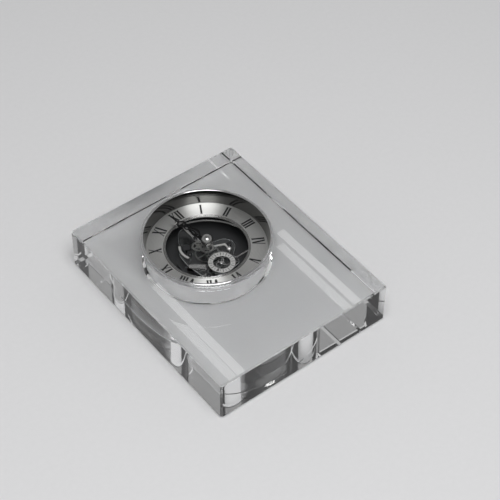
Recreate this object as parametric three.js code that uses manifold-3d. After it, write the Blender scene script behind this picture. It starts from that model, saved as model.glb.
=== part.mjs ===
// Skeleton quartz clock set in a slab of clear crystal, lying on its back.
// Units are millimetres. +X points to 3 o'clock, +Y to 12 o'clock and +Z out of the dial.
// The origin is the middle of the slab's flat back.
import * as THREE from "three";
import { mergeVertices } from "three/addons/utils/BufferGeometryUtils.js";
import Module from "manifold-3d";

const wasm = await Module();
wasm.setup();

// Slab of crystal
const SLAB_WIDTH = 150;
const SLAB_HEIGHT = 184;
const SLAB_DEPTH = 36;
const SLAB_CHAMFER = 1.6;
const DIAL_ABOVE_MIDDLE = 24;
const BORE_RADIUS = 47;

// Clearances
const RUNNING_GAP = 0.08;
const SLIP_GAP = 0.1;
const FREE_GAP = 0.3;
const TOOTH_GAP = 0.1;
const PUSH_GAP = 0.02;

// Case of the insert, a thin metal cup pushed into the bore
const SEAT_RING_WALL = 0.6;
const SEAT_RING_LENGTH = 12;
const SEAT_RING_DEPTH = 14;
const CASE_WALL = 0.7;
const CASE_FLOOR = 0.8;
const CASE_BACK_RECESS = 8.8;
const BACKGROUND_THICKNESS = 0.6;
const SPACER_WALL = 1.8;

// Dial, its inner lip, the polished wall round it and the rim on the slab's front
const DIAL_TOP = 28.2;
const DIAL_THICKNESS = 0.8;
const DIAL_OPENING_RADIUS = 30.6;
const LIP_WIDTH = 1.9;
const LIP_HEIGHT = 0.5;
const RIM_HEIGHT = 3.9;
const RIM_OVERLAP = 2;
const RIM_WIDTH = 2.1;
const RIM_LIP = 0.5;
const WALL_THICKNESS = 0.4;
const WALL_FOOT = 0.8;
const WALL_INSET = 0.3;

// Plates of the movement
const PLATE_THICKNESS = 1.2;
const REAR_PLATE_BOTTOM = 12.8;
const FRONT_PLATE_BOTTOM = 22.6;
const REAR_PLATE_REACH = 28;
const FRONT_PLATE_REACH = 28.6;
const PILLAR_RADIUS = 1.4;
const SCREW_SHANK_RADIUS = 0.6;
const NECK_WALL = 0.2;
const SCREW_REACH = 2.6;
const SCREW_HEAD_RADIUS = 1.7;
const SCREW_HEAD_HEIGHT = 0.9;
const SLOT_WIDTH = 0.4;
const SLOT_DEPTH = 0.35;
const ARM_THICKNESS = 0.8;
const ARM_WIDTH = 1.1;
const ARM_OFFSET = 2;
const TOP_ARM_WIDTH = 3;
const BRIDGE_THICKNESS = 0.7;
const SIDE_BRIDGE_WIDTH = 1.8;
const LOWER_BRIDGE_LENGTH = 12.4;
const LOWER_BRIDGE_WIDTH = 4;
const LEVER_THICKNESS = 0.6;
const LEVER_WIDTH = 1.3;
const STUD_RADIUS = 1.7;

// Teeth
const TRAIN_MODULE = 0.4;
const FAST_MODULE = 0.3;
const MOTION_MODULE = 0.44;
const CENTRE_TEETH = 48;
const THIRD_TEETH = 45;
const SECONDS_TEETH = 30;
const STEP_TEETH = 36;
const PINION_TEETH = 6;
const CANNON_TEETH = 8;
const MOTION_TEETH = 24;
const MOTION_PINION_TEETH = 6;
const HOUR_TEETH = 24;
const SETTING_TEETH = 16;
const WHEEL_THICKNESS = 0.6;
const CROSSING_LENGTH = 3;
const PINION_LENGTH = 1.4;

// Arbors
const CENTRE_ARBOR_RADIUS = 0.7;
const TRAIN_ARBOR_RADIUS = 0.5;
const FAST_ARBOR_RADIUS = 0.4;
const PIPE_WALL = 0.6;

// Levels of the wheels between the plates, and of the motion work in front of them
const CENTRE_WHEEL_LEVEL = 19.6;
const THIRD_WHEEL_LEVEL = 17.4;
const SECONDS_WHEEL_LEVEL = 15.4;
const STEP_WHEEL_LEVEL = 20.7;
const CANNON_LEVEL = 24.4;
const HOUR_WHEEL_LEVEL = 26.3;
const SECONDS_DISC_LEVEL = 25.8;

// Hands, set to a little before 12, and the ball that caps them
const HOUR_HAND_LEVEL = 31;
const MINUTE_HAND_LEVEL = 32.4;
const MINUTES_TO_TWELVE = 1.5;
const HAND_THICKNESS = 0.5;
const HOUR_HAND_LENGTH = 27;
const MINUTE_HAND_LENGTH = 38;
const HAND_WAIST = 0.7;
const HAND_TIP = 0.3;
const HAND_BRIDGE = 1.1;
const HOUR_HAND_HUB = 3.4;
const MINUTE_HAND_HUB = 2.8;
const BALL_RADIUS = 4.6;
const BALL_CENTRE_LEVEL = 34.6;

// Seconds disc at 6 o'clock
const SECONDS_ARBOR_DISTANCE = 18.1;
const SECONDS_DISC_RADIUS = 10.1;
const SECONDS_RING_WIDTH = 3.6;
const SECONDS_DISC_THICKNESS = 0.7;
const SPOKE_COUNT = 3;
const SPOKE_WIDTH = 0.9;

// Stepping motor
const ROTOR_RADIUS = 2.2;
const ROTOR_HEIGHT = 2;
const ROTOR_LEVEL = 14.2;
const STATOR_THICKNESS = 0.8;
const STATOR_GAP = 0.4;
const COIL_LENGTH = 8;
const COIL_RADIUS = 2.1;
const BOBBIN_RADIUS = 1.1;
const CORE_RADIUS = 0.6;
const FLANGE_THICKNESS = 0.6;
const COIL_LEVEL = 18;
const BOARD_THICKNESS = 0.8;

// Cell box at the back
const CELL_RADIUS = 5.8;
const CELL_HEIGHT = 3.6;
const COVER_RADIUS = 26;
const COVER_WALL = 1.2;
const COVER_BACK = 2.8;
const COVER_SCREW_CIRCLE = 22.4;
const DOOR_RADIUS = 7;
const KNOB_RADIUS = 4.6;
const KNOB_HEIGHT = 1.6;
const KNOB_TEETH = 24;

// Facets round a circle
const FINE = 40;
const SMALL = 16;
const TINY = 8;

// Places worked out from the sizes above
const slabFront = SLAB_DEPTH;
const rimTop = slabFront + RIM_HEIGHT;
const caseRadius = BORE_RADIUS - SEAT_RING_WALL - 2 * SLIP_GAP;
const caseInner = caseRadius - CASE_WALL;
const caseFloorTop = CASE_BACK_RECESS + CASE_FLOOR;
const backgroundTop = caseFloorTop + BACKGROUND_THICKNESS;
const dialBottom = DIAL_TOP - DIAL_THICKNESS;
const dialRadius = caseInner - SLIP_GAP;
const spacerInner = dialRadius - SPACER_WALL;
const wallBottom = DIAL_TOP + SLIP_GAP;
const wallTop = rimTop - RIM_LIP;
const wallInnerBottom = dialRadius - WALL_INSET;
const wallInnerTop = BORE_RADIUS + RIM_OVERLAP - RIM_WIDTH;
const rearPlateTop = REAR_PLATE_BOTTOM + PLATE_THICKNESS;
const frontPlateTop = FRONT_PLATE_BOTTOM + PLATE_THICKNESS;
const knobBottom = COVER_BACK - FREE_GAP - KNOB_HEIGHT;

const pitch = (teeth, module) => (teeth * module) / 2;
const polar = (radius, degrees) => [
  radius * Math.cos(THREE.MathUtils.degToRad(degrees)),
  radius * Math.sin(THREE.MathUtils.degToRad(degrees)),
];
const away = (from, radius, degrees) => {
  const [x, y] = polar(radius, degrees);
  return [from[0] + x, from[1] + y];
};

// Arbors in the dial's own plane, from the middle of the dial
const centreArbor = [0, 0];
const secondsArbor = [0, -SECONDS_ARBOR_DISTANCE];
const thirdArbor = meetingPoint(
  pitch(CENTRE_TEETH + PINION_TEETH, TRAIN_MODULE),
  pitch(THIRD_TEETH + PINION_TEETH, TRAIN_MODULE),
  SECONDS_ARBOR_DISTANCE,
);
const stepArbor = away(secondsArbor, pitch(SECONDS_TEETH + PINION_TEETH, TRAIN_MODULE), 185);
const rotorArbor = away(stepArbor, pitch(STEP_TEETH + PINION_TEETH, FAST_MODULE), 135);
const motionArbor = polar(pitch(CANNON_TEETH + MOTION_TEETH, MOTION_MODULE), 120);
const hourModule = (MOTION_MODULE * (CANNON_TEETH + MOTION_TEETH)) / (MOTION_PINION_TEETH + HOUR_TEETH);
const settingArbor = away(motionArbor, pitch(MOTION_TEETH + SETTING_TEETH, MOTION_MODULE), 150);
const pillars = [
  [17, -5],
  [0, 14.5],
  [-12.6, 4.6],
  [10.8, -21.2],
  [-14.4, -21.2],
];
const armed = [1, 3, 4];
const studPlace = [13.6, -9.2];
const coilMiddle = [-16.4, -5];
const coilTurn = -52;
const cellMiddle = [8, -6];
const boardCorner = [4.5, 1.2];
const boardSize = [9.5, 6.5];

// The third arbor stands at both centre distances at once, to the right of the line down to 6 o'clock.
function meetingPoint(fromCentre, fromSeconds, apart) {
  const down = (apart ** 2 + fromCentre ** 2 - fromSeconds ** 2) / (2 * apart);
  return [Math.sqrt(fromCentre ** 2 - down ** 2), -down];
}

// A solid of the boolean library from a closed geometry, and back.
function solid(geometry) {
  const bare = geometry.clone();
  bare.deleteAttribute("normal");
  bare.deleteAttribute("uv");
  const merged = mergeVertices(bare, 1e-4);
  return new wasm.Manifold(
    new wasm.Mesh({
      numProp: 3,
      vertProperties: new Float32Array(merged.attributes.position.array),
      triVerts: new Uint32Array(merged.index.array),
    }),
  );
}

function geometryOf(made) {
  const mesh = made.getMesh();
  const geometry = new THREE.BufferGeometry();
  geometry.setAttribute("position", new THREE.BufferAttribute(mesh.vertProperties, 3));
  geometry.setIndex(new THREE.BufferAttribute(mesh.triVerts, 1));
  const faceted = geometry.toNonIndexed();
  faceted.computeVertexNormals();
  return faceted;
}

function join(first, ...others) {
  return geometryOf(others.reduce((sum, other) => sum.add(solid(other)), solid(first)));
}

function cut(first, ...others) {
  return geometryOf(others.reduce((sum, other) => sum.subtract(solid(other)), solid(first)));
}

// A shape's prism from one level to another.
function prism(shape, bottom, top, curveSegments = SMALL) {
  const geometry = new THREE.ExtrudeGeometry(shape, {
    depth: top - bottom,
    bevelEnabled: false,
    curveSegments,
  });
  return geometry.translate(0, 0, bottom);
}

function circle(radius, at = [0, 0]) {
  return new THREE.Shape().absarc(at[0], at[1], radius, 0, 2 * Math.PI, false);
}

function hole(radius, at = [0, 0]) {
  return new THREE.Path().absarc(at[0], at[1], radius, 0, 2 * Math.PI, true);
}

function ring(outer, inner, at = [0, 0]) {
  const shape = circle(outer, at);
  shape.holes.push(hole(inner, at));
  return shape;
}

function disc(radius, bottom, top, at = [0, 0], segments = SMALL) {
  const geometry = new THREE.CylinderGeometry(radius, radius, top - bottom, segments);
  return geometry.rotateX(Math.PI / 2).translate(at[0], at[1], (bottom + top) / 2);
}

// A closed profile of [radius, level] points turned round the dial's axis.
function turned(profile, segments = FINE) {
  const points = [...profile, profile[0]].map(([r, z]) => new THREE.Vector2(r, z));
  return new THREE.LatheGeometry(points, segments).rotateX(Math.PI / 2);
}

// A toothed outline whose tips stop short of the pitch circle, so that a pair never touches.
function toothed(teeth, module, at = [0, 0]) {
  const tip = pitch(teeth, module) - TOOTH_GAP;
  const root = tip - 1.6 * module;
  const step = (2 * Math.PI) / teeth;
  const shape = new THREE.Shape();
  for (let i = 0; i < teeth; i += 1) {
    const corners = [
      [root, 0],
      [tip, 0.22],
      [tip, 0.48],
      [root, 0.7],
    ];
    for (const [radius, part] of corners) {
      const angle = (i + part) * step;
      const x = at[0] + radius * Math.cos(angle);
      const y = at[1] + radius * Math.sin(angle);
      if (i === 0 && part === 0) shape.moveTo(x, y);
      else shape.lineTo(x, y);
    }
  }
  shape.closePath();
  return shape;
}

// A toothed disc, with four windows between its arms where it is large enough.
function crossedWheel(teeth, module, at, level) {
  const shape = toothed(teeth, module, at);
  const outer = pitch(teeth, module) - 3.4 * module;
  const inner = 1.7;
  if (outer - inner > CROSSING_LENGTH) {
    for (let i = 0; i < 4; i += 1) {
      const start = (i * Math.PI) / 2 + 0.22;
      const end = ((i + 1) * Math.PI) / 2 - 0.22;
      const window = new THREE.Path();
      window.absarc(at[0], at[1], outer, start, end, false);
      window.absarc(at[0], at[1], inner, end - 0.25, start + 0.25, true);
      window.closePath();
      shape.holes.push(window);
    }
  }
  return prism(shape, level, level + WHEEL_THICKNESS, 3);
}

function pinion(teeth, module, at, bottom, length = PINION_LENGTH) {
  return prism(toothed(teeth, module, at), bottom, bottom + length);
}

// Slotted cheese-head screw with its head up, or down when the head is at the back.
function screw(at, seat, shankEnd, headUp = true) {
  const headTop = headUp ? seat + SCREW_HEAD_HEIGHT : seat - SCREW_HEAD_HEIGHT;
  const head = disc(SCREW_HEAD_RADIUS, Math.min(seat, headTop), Math.max(seat, headTop), at);
  const lap = headUp ? seat + 0.2 : seat - 0.2;
  const shank = disc(SCREW_SHANK_RADIUS, Math.min(lap, shankEnd), Math.max(lap, shankEnd), at, TINY);
  const slot = new THREE.BoxGeometry(2 * SCREW_HEAD_RADIUS + 1, SLOT_WIDTH, 2 * SLOT_DEPTH);
  slot.translate(at[0], at[1], headTop);
  return geometryOf(solid(head).add(solid(shank)).subtract(solid(slot)));
}

const root = new THREE.Group();
root.name = "crystal_clock";

// Everything of the insert is placed from the middle of the dial.
const insert = new THREE.Group();
insert.position.set(0, DIAL_ABOVE_MIDDLE, 0);
root.add(insert);

const FINISH = {
  crystal: { color: 0xf4f8fa, roughness: 0.02, metalness: 0, transparent: true, opacity: 0.35 },
  acrylic: { color: 0xe6ecee, roughness: 0.08, metalness: 0, transparent: true, opacity: 0.4 },
  rubber: { color: 0x1a1a1b, roughness: 0.9, metalness: 0 },
  blackened: { color: 0x222326, roughness: 0.5, metalness: 0.2 },
  polished: { color: 0xc9cacc, roughness: 0.12, metalness: 1 },
  brushed: { color: 0xbdbdbb, roughness: 0.35, metalness: 0.9 },
  steel: { color: 0xa9abad, roughness: 0.3, metalness: 1 },
  brass: { color: 0xb89a52, roughness: 0.3, metalness: 1 },
  blackPaint: { color: 0x0c0c0d, roughness: 0.45, metalness: 0 },
  blackPlastic: { color: 0x18181a, roughness: 0.55, metalness: 0 },
  copper: { color: 0x9c5a32, roughness: 0.4, metalness: 0.8 },
  board: { color: 0x1f4a32, roughness: 0.5, metalness: 0 },
  magnet: { color: 0x3a3a3e, roughness: 0.4, metalness: 0.7 },
};

function place(name, geometry, finish, group = insert) {
  const mesh = new THREE.Mesh(geometry, new THREE.MeshStandardMaterial(FINISH[finish]));
  mesh.name = name;
  group.add(mesh);
}

// Slab: a chamfered block with a bore right through it for the insert.
function crystalBlock() {
  const x = SLAB_WIDTH / 2 - SLAB_CHAMFER;
  const y = SLAB_HEIGHT / 2 - SLAB_CHAMFER;
  const outline = new THREE.Shape();
  outline.moveTo(-x, -y).lineTo(x, -y).lineTo(x, y).lineTo(-x, y).closePath();
  const slab = new THREE.ExtrudeGeometry(outline, {
    depth: SLAB_DEPTH - 2 * SLAB_CHAMFER,
    bevelThickness: SLAB_CHAMFER,
    bevelSize: SLAB_CHAMFER,
    bevelSegments: 1,
  });
  slab.translate(0, 0, SLAB_CHAMFER);
  const bore = disc(BORE_RADIUS, -1, SLAB_DEPTH + 1, [0, DIAL_ABOVE_MIDDLE], 96);
  return cut(slab, bore);
}

function seatRing() {
  const inner = caseRadius + SLIP_GAP;
  const outer = inner + SEAT_RING_WALL;
  return turned([
    [inner, SEAT_RING_DEPTH],
    [outer, SEAT_RING_DEPTH],
    [outer, SEAT_RING_DEPTH + SEAT_RING_LENGTH],
    [inner, SEAT_RING_DEPTH + SEAT_RING_LENGTH],
  ]);
}

function insertCase() {
  const cup = turned([
    [0, CASE_BACK_RECESS],
    [caseRadius, CASE_BACK_RECESS],
    [caseRadius, DIAL_TOP],
    [caseInner, DIAL_TOP],
    [caseInner, caseFloorTop],
    [0, caseFloorTop],
  ]);
  const stemHole = disc(FAST_ARBOR_RADIUS + FREE_GAP, 0, SLAB_DEPTH, settingArbor, TINY);
  const screwHoles = coverScrewPlaces().map((at) =>
    disc(SCREW_SHANK_RADIUS + SLIP_GAP, 0, SLAB_DEPTH, at, TINY),
  );
  return cut(cup, stemHole, ...screwHoles);
}

function backgroundPlate() {
  const shape = circle(dialRadius);
  shape.holes.push(hole(FAST_ARBOR_RADIUS + FREE_GAP, settingArbor));
  for (const at of coverScrewPlaces()) shape.holes.push(hole(SCREW_SHANK_RADIUS + SLIP_GAP, at));
  return prism(shape, caseFloorTop, backgroundTop, FINE / 2);
}

function spacerRing() {
  return turned([
    [spacerInner, backgroundTop],
    [dialRadius, backgroundTop],
    [dialRadius, dialBottom],
    [spacerInner, dialBottom],
  ]);
}

function dialRing() {
  return turned([
    [DIAL_OPENING_RADIUS, dialBottom],
    [dialRadius, dialBottom],
    [dialRadius, DIAL_TOP],
    [DIAL_OPENING_RADIUS, DIAL_TOP],
  ]);
}

// Two polished beads with a groove between them, on the dial's inner edge.
function dialLip() {
  const inner = DIAL_OPENING_RADIUS;
  const outer = inner + LIP_WIDTH;
  const middle = (inner + outer) / 2;
  const top = DIAL_TOP + LIP_HEIGHT;
  return turned([
    [inner, DIAL_TOP],
    [outer, DIAL_TOP],
    [outer - 0.2, top - 0.1],
    [middle + 0.4, top - 0.1],
    [middle, DIAL_TOP + 0.15],
    [middle - 0.4, top],
    [inner + 0.15, top],
  ]);
}

// Conical mirror wall between the dial and the rim, with a foot on the edge of the case.
function chapterWall() {
  const innerBottom = wallInnerBottom;
  const innerTop = wallInnerTop;
  const outerTop = innerTop + WALL_THICKNESS;
  const footTop = wallBottom + WALL_FOOT;
  const slope = (innerTop - innerBottom) / (wallTop - wallBottom);
  const outerAtFoot = innerBottom + WALL_THICKNESS + slope * WALL_FOOT;
  return turned([
    [innerBottom, wallBottom],
    [caseRadius, wallBottom],
    [caseRadius, footTop],
    [outerAtFoot, footTop],
    [outerTop, wallTop],
    [innerTop, wallTop],
  ]);
}

// Thin rim: a flange on the slab's front that holds the top of the mirror wall.
function bezel() {
  const outer = BORE_RADIUS + RIM_OVERLAP;
  const slope = (wallInnerTop - wallInnerBottom) / (wallTop - wallBottom);
  const insideAt = (level) =>
    wallInnerTop + WALL_THICKNESS + SLIP_GAP - slope * (wallTop - level);
  const lipInner = wallInnerTop;
  return turned([
    [insideAt(slabFront), slabFront],
    [outer, slabFront],
    [outer, rimTop - RIM_LIP],
    [outer - 0.35, rimTop],
    [lipInner + 0.2, rimTop],
    [lipInner, wallTop + SLIP_GAP],
    [insideAt(wallTop), wallTop + SLIP_GAP],
  ]);
}

// Smooth closed outline through its corners, with the bores that the plate needs.
function plateShape(corners, reach, bores) {
  const curve = new THREE.CatmullRomCurve3(
    corners.map(([x, y]) => new THREE.Vector3(x * reach, y * reach, 0)),
    true,
    "catmullrom",
    0.4,
  );
  const points = curve.getPoints(44).slice(1);
  const shape = new THREE.Shape(points.map((p) => new THREE.Vector2(p.x, p.y)));
  for (const [at, radius] of bores) shape.holes.push(hole(radius, at));
  return shape;
}

function arborBores() {
  return [
    [centreArbor, CENTRE_ARBOR_RADIUS + RUNNING_GAP],
    [secondsArbor, TRAIN_ARBOR_RADIUS + RUNNING_GAP],
    [thirdArbor, TRAIN_ARBOR_RADIUS + RUNNING_GAP],
    [stepArbor, FAST_ARBOR_RADIUS + RUNNING_GAP],
    [rotorArbor, FAST_ARBOR_RADIUS + RUNNING_GAP],
    [settingArbor, FAST_ARBOR_RADIUS + RUNNING_GAP],
  ];
}

function rearPlate() {
  const corners = [
    [-0.25, 0.589],
    [-0.536, 0.554],
    [-0.732, 0.357],
    [-0.768, 0],
    [-0.786, -0.429],
    [-0.643, -0.821],
    [-0.286, -0.982],
    [0.179, -1],
    [0.482, -0.875],
    [0.643, -0.607],
    [0.732, -0.286],
    [0.696, 0.036],
    [0.536, 0.339],
    [0.286, 0.536],
    [0, 0.661],
  ];
  const necks = pillars.map((at) => [at, SCREW_SHANK_RADIUS + NECK_WALL + SLIP_GAP]);
  const shape = plateShape(corners, REAR_PLATE_REACH, [...arborBores(), ...necks]);
  return prism(shape, REAR_PLATE_BOTTOM, rearPlateTop, 6);
}

// The front plate is clear, so its lobes are what shows of it.
function frontPlate() {
  const corners = [
    [0.091, 0.944],
    [-0.07, 1],
    [-0.245, 0.927],
    [-0.483, 0.563],
    [-0.664, 0.28],
    [-0.699, -0.122],
    [-0.647, -0.49],
    [-0.594, -0.734],
    [-0.455, -0.853],
    [0, -0.892],
    [0.385, -0.839],
    [0.469, -0.699],
    [0.451, -0.538],
    [0.685, -0.301],
    [0.713, -0.091],
    [0.577, 0.084],
    [0.332, 0.161],
    [0.161, 0.385],
  ];
  const screws = pillars.map((at) => [at, SCREW_SHANK_RADIUS + SLIP_GAP]);
  const motion = [motionArbor, FAST_ARBOR_RADIUS + RUNNING_GAP];
  const shape = plateShape(corners, FRONT_PLATE_REACH, [...arborBores(), ...screws, motion]);
  return prism(shape, FRONT_PLATE_BOTTOM, frontPlateTop, 6);
}

// Shouldered pillar: a foot on the background plate, a body between the plates and a tapped top.
function pillar(at) {
  const foot = disc(PILLAR_RADIUS, backgroundTop, REAR_PLATE_BOTTOM, at);
  const neck = disc(SCREW_SHANK_RADIUS + NECK_WALL, REAR_PLATE_BOTTOM - 0.2, rearPlateTop + 0.2, at);
  const body = disc(PILLAR_RADIUS, rearPlateTop, FRONT_PLATE_BOTTOM, at);
  const tapped = disc(
    SCREW_SHANK_RADIUS + SLIP_GAP,
    FRONT_PLATE_BOTTOM - SCREW_REACH - FREE_GAP,
    FRONT_PLATE_BOTTOM + RUNNING_GAP,
    at,
    TINY,
  );
  return geometryOf(solid(foot).add(solid(neck)).add(solid(body)).subtract(solid(tapped)));
}

// Flat arm on the front plate, from a pillar straight out to the spacer ring. An offset arm runs
// beside its screw.
function carrierArm(at, degrees, width, inward, offset = 0) {
  const reach = spacerInner - FREE_GAP;
  const [dx, dy] = polar(1, degrees);
  const along = at[0] * dx + at[1] * dy;
  const across = at[0] * dy - at[1] * dx;
  const half = width / 2;
  const length = Math.sqrt(reach ** 2 - (Math.abs(across - offset) + half) ** 2) - along;
  const top = frontPlateTop + ARM_THICKNESS;
  const shape = new THREE.Shape();
  shape.moveTo(-inward, offset - half).lineTo(length, offset - half);
  shape.lineTo(length, offset + half).lineTo(-inward, offset + half).closePath();
  const bar = prism(shape, frontPlateTop, top);
  const eye = disc(SCREW_HEAD_RADIUS + 0.4, frontPlateTop, top);
  const bore = disc(SCREW_SHANK_RADIUS + SLIP_GAP, frontPlateTop - 1, top + 1, [0, 0], TINY);
  const arm = geometryOf(solid(bar).add(solid(eye)).subtract(solid(bore)));
  return arm.rotateZ(THREE.MathUtils.degToRad(degrees)).translate(at[0], at[1], 0);
}

// Curved silver bridge at the left of the movement, on the front plate.
function sideBridge() {
  const middle = [-3.8, 7.2];
  const radius = 13.1;
  const half = SIDE_BRIDGE_WIDTH / 2;
  const from = THREE.MathUtils.degToRad(143);
  const to = THREE.MathUtils.degToRad(205);
  const shape = new THREE.Shape();
  shape.absarc(middle[0], middle[1], radius + half, from, to, false);
  shape.absarc(middle[0], middle[1], radius - half, to, from, true);
  shape.closePath();
  return prism(shape, frontPlateTop, frontPlateTop + BRIDGE_THICKNESS, 12);
}

// Silver bar over the motor's coil, on the front plate.
function lowerBridge() {
  const [x, y] = [-15.9, -9.1];
  const half = LOWER_BRIDGE_LENGTH / 2;
  const side = LOWER_BRIDGE_WIDTH / 2;
  const shape = new THREE.Shape();
  shape.moveTo(-half + side, -side).lineTo(half, -side).lineTo(half, side);
  shape.lineTo(-half + side, side).absarc(-half + side, 0, side, Math.PI / 2, 1.5 * Math.PI, false);
  const bar = prism(shape, frontPlateTop, frontPlateTop + BRIDGE_THICKNESS, 6);
  return bar.rotateZ(THREE.MathUtils.degToRad(-38)).translate(x, y, 0);
}

// Slim bent lever beside the centre and the round-headed stud that holds its end.
function lever() {
  const from = [6.2, -0.1];
  const bend = [14, -3.3];
  const top = frontPlateTop + LEVER_THICKNESS;
  const bar = strip(from, bend, LEVER_WIDTH, frontPlateTop, top);
  const link = strip(bend, studPlace, LEVER_WIDTH, frontPlateTop, top);
  const knee = disc(LEVER_WIDTH / 2, frontPlateTop, top, bend, TINY);
  const eye = disc(STUD_RADIUS, frontPlateTop, top, studPlace);
  const bore = disc(SCREW_SHANK_RADIUS + SLIP_GAP, frontPlateTop - 1, top + 1, studPlace, TINY);
  const flat = solid(bar).add(solid(link)).add(solid(knee)).add(solid(eye));
  return geometryOf(flat.subtract(solid(bore)));
}

function stud() {
  const seat = frontPlateTop + LEVER_THICKNESS;
  const profile = [[0, frontPlateTop], [SCREW_SHANK_RADIUS, frontPlateTop], [SCREW_SHANK_RADIUS, seat]];
  profile.push([STUD_RADIUS, seat], [STUD_RADIUS, seat + 0.5], [STUD_RADIUS * 0.6, seat + 1.2]);
  profile.push([0, seat + 1.4]);
  return turned(profile, SMALL).translate(studPlace[0], studPlace[1], 0);
}

// Wheels of the going train
function arborOf(radius, at, bottom, top) {
  return disc(radius, bottom, top, at, TINY);
}

function centreWheel() {
  return join(
    crossedWheel(CENTRE_TEETH, TRAIN_MODULE, centreArbor, CENTRE_WHEEL_LEVEL),
    disc(2, CENTRE_WHEEL_LEVEL - 0.3, CENTRE_WHEEL_LEVEL + 0.9),
    arborOf(CENTRE_ARBOR_RADIUS, centreArbor, REAR_PLATE_BOTTOM + 0.2, MINUTE_HAND_LEVEL - 0.1),
  );
}

function thirdWheel() {
  return join(
    crossedWheel(THIRD_TEETH, TRAIN_MODULE, thirdArbor, THIRD_WHEEL_LEVEL),
    pinion(PINION_TEETH, TRAIN_MODULE, thirdArbor, CENTRE_WHEEL_LEVEL - 0.4),
    arborOf(TRAIN_ARBOR_RADIUS, thirdArbor, REAR_PLATE_BOTTOM + 0.2, frontPlateTop - 0.1),
  );
}

function secondsWheel() {
  return join(
    crossedWheel(SECONDS_TEETH, TRAIN_MODULE, secondsArbor, SECONDS_WHEEL_LEVEL),
    pinion(PINION_TEETH, TRAIN_MODULE, secondsArbor, THIRD_WHEEL_LEVEL - 0.4),
    arborOf(TRAIN_ARBOR_RADIUS, secondsArbor, REAR_PLATE_BOTTOM + 0.2, SECONDS_DISC_LEVEL),
  );
}

function stepWheel() {
  return join(
    crossedWheel(STEP_TEETH, FAST_MODULE, stepArbor, STEP_WHEEL_LEVEL),
    pinion(PINION_TEETH, TRAIN_MODULE, stepArbor, SECONDS_WHEEL_LEVEL - 0.4),
    arborOf(FAST_ARBOR_RADIUS, stepArbor, REAR_PLATE_BOTTOM + 0.2, frontPlateTop - 0.1),
  );
}

function rotor() {
  return join(
    disc(ROTOR_RADIUS, ROTOR_LEVEL, ROTOR_LEVEL + ROTOR_HEIGHT, rotorArbor),
    pinion(PINION_TEETH, FAST_MODULE, rotorArbor, STEP_WHEEL_LEVEL - 0.4),
    arborOf(FAST_ARBOR_RADIUS, rotorArbor, REAR_PLATE_BOTTOM + 0.2, frontPlateTop - 0.1),
  );
}

// Silver ring with curved spokes that turns once a minute.
function secondsDisc() {
  const inner = SECONDS_DISC_RADIUS - SECONDS_RING_WIDTH;
  const level = SECONDS_DISC_LEVEL;
  const top = level + SECONDS_DISC_THICKNESS;
  const parts = [disc(1.6, level, top)];
  for (let i = 0; i < SPOKE_COUNT; i += 1) {
    const start = (i * 2 * Math.PI) / SPOKE_COUNT;
    const shape = new THREE.Shape();
    const steps = 6;
    const edge = (side) => (step) => {
      const part = step / steps;
      const radius = 1.2 + part * (inner - 0.9);
      const angle = start + part * 1.5;
      const offset = (side * SPOKE_WIDTH) / 2;
      return [
        radius * Math.cos(angle) - offset * Math.sin(angle + 0.5),
        radius * Math.sin(angle) + offset * Math.cos(angle + 0.5),
      ];
    };
    for (let step = 0; step <= steps; step += 1) {
      const [x, y] = edge(-1)(step);
      if (step === 0) shape.moveTo(x, y);
      else shape.lineTo(x, y);
    }
    for (let step = steps; step >= 0; step -= 1) {
      const [x, y] = edge(1)(step);
      shape.lineTo(x, y);
    }
    shape.closePath();
    parts.push(prism(shape, level, top));
  }
  const rim = prism(ring(SECONDS_DISC_RADIUS, inner), level, top, 18);
  return join(rim, ...parts).translate(secondsArbor[0], secondsArbor[1], 0);
}

// Motion work in front of the plate
const cannonInner = CENTRE_ARBOR_RADIUS + RUNNING_GAP;
const cannonOuter = cannonInner + PIPE_WALL;
const hourPipeInner = cannonOuter + RUNNING_GAP;
const hourPipeOuter = hourPipeInner + PIPE_WALL;

function bored(geometry, radius, at = [0, 0]) {
  return cut(geometry, disc(radius, 0, SLAB_DEPTH, at, SMALL));
}

function cannonPinion() {
  const pipeTop = MINUTE_HAND_LEVEL;
  const body = join(
    pinion(CANNON_TEETH, MOTION_MODULE, centreArbor, CANNON_LEVEL),
    disc(cannonOuter, CANNON_LEVEL, pipeTop),
  );
  return bored(body, cannonInner);
}

function hourWheel() {
  const body = join(
    crossedWheel(HOUR_TEETH, hourModule, centreArbor, HOUR_WHEEL_LEVEL),
    disc(hourPipeOuter, HOUR_WHEEL_LEVEL, HOUR_HAND_LEVEL),
  );
  return bored(body, hourPipeInner);
}

function motionWheel() {
  return join(
    crossedWheel(MOTION_TEETH, MOTION_MODULE, motionArbor, CANNON_LEVEL + 0.4),
    pinion(MOTION_PINION_TEETH, hourModule, motionArbor, CANNON_LEVEL + 1.0, 1.9),
    arborOf(FAST_ARBOR_RADIUS, motionArbor, FRONT_PLATE_BOTTOM + 0.2, CANNON_LEVEL + 3.1),
  );
}

function settingArborWithWheel() {
  return join(
    crossedWheel(SETTING_TEETH, MOTION_MODULE, settingArbor, CANNON_LEVEL + 0.4),
    arborOf(FAST_ARBOR_RADIUS, settingArbor, knobBottom + 0.4, CANNON_LEVEL + 1.2),
  );
}

function settingKnob() {
  const shape = new THREE.Shape();
  for (let i = 0; i < 2 * KNOB_TEETH; i += 1) {
    const radius = KNOB_RADIUS - (i % 2) * 0.35;
    const angle = (i * Math.PI) / KNOB_TEETH;
    const x = radius * Math.cos(angle);
    const y = radius * Math.sin(angle);
    if (i === 0) shape.moveTo(x, y);
    else shape.lineTo(x, y);
  }
  shape.closePath();
  const knob = prism(shape, knobBottom, knobBottom + KNOB_HEIGHT);
  knob.translate(settingArbor[0], settingArbor[1], 0);
  const seat = disc(FAST_ARBOR_RADIUS + PUSH_GAP, knobBottom + 0.4 - PUSH_GAP, SLAB_DEPTH, settingArbor, TINY);
  return cut(knob, seat);
}

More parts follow.
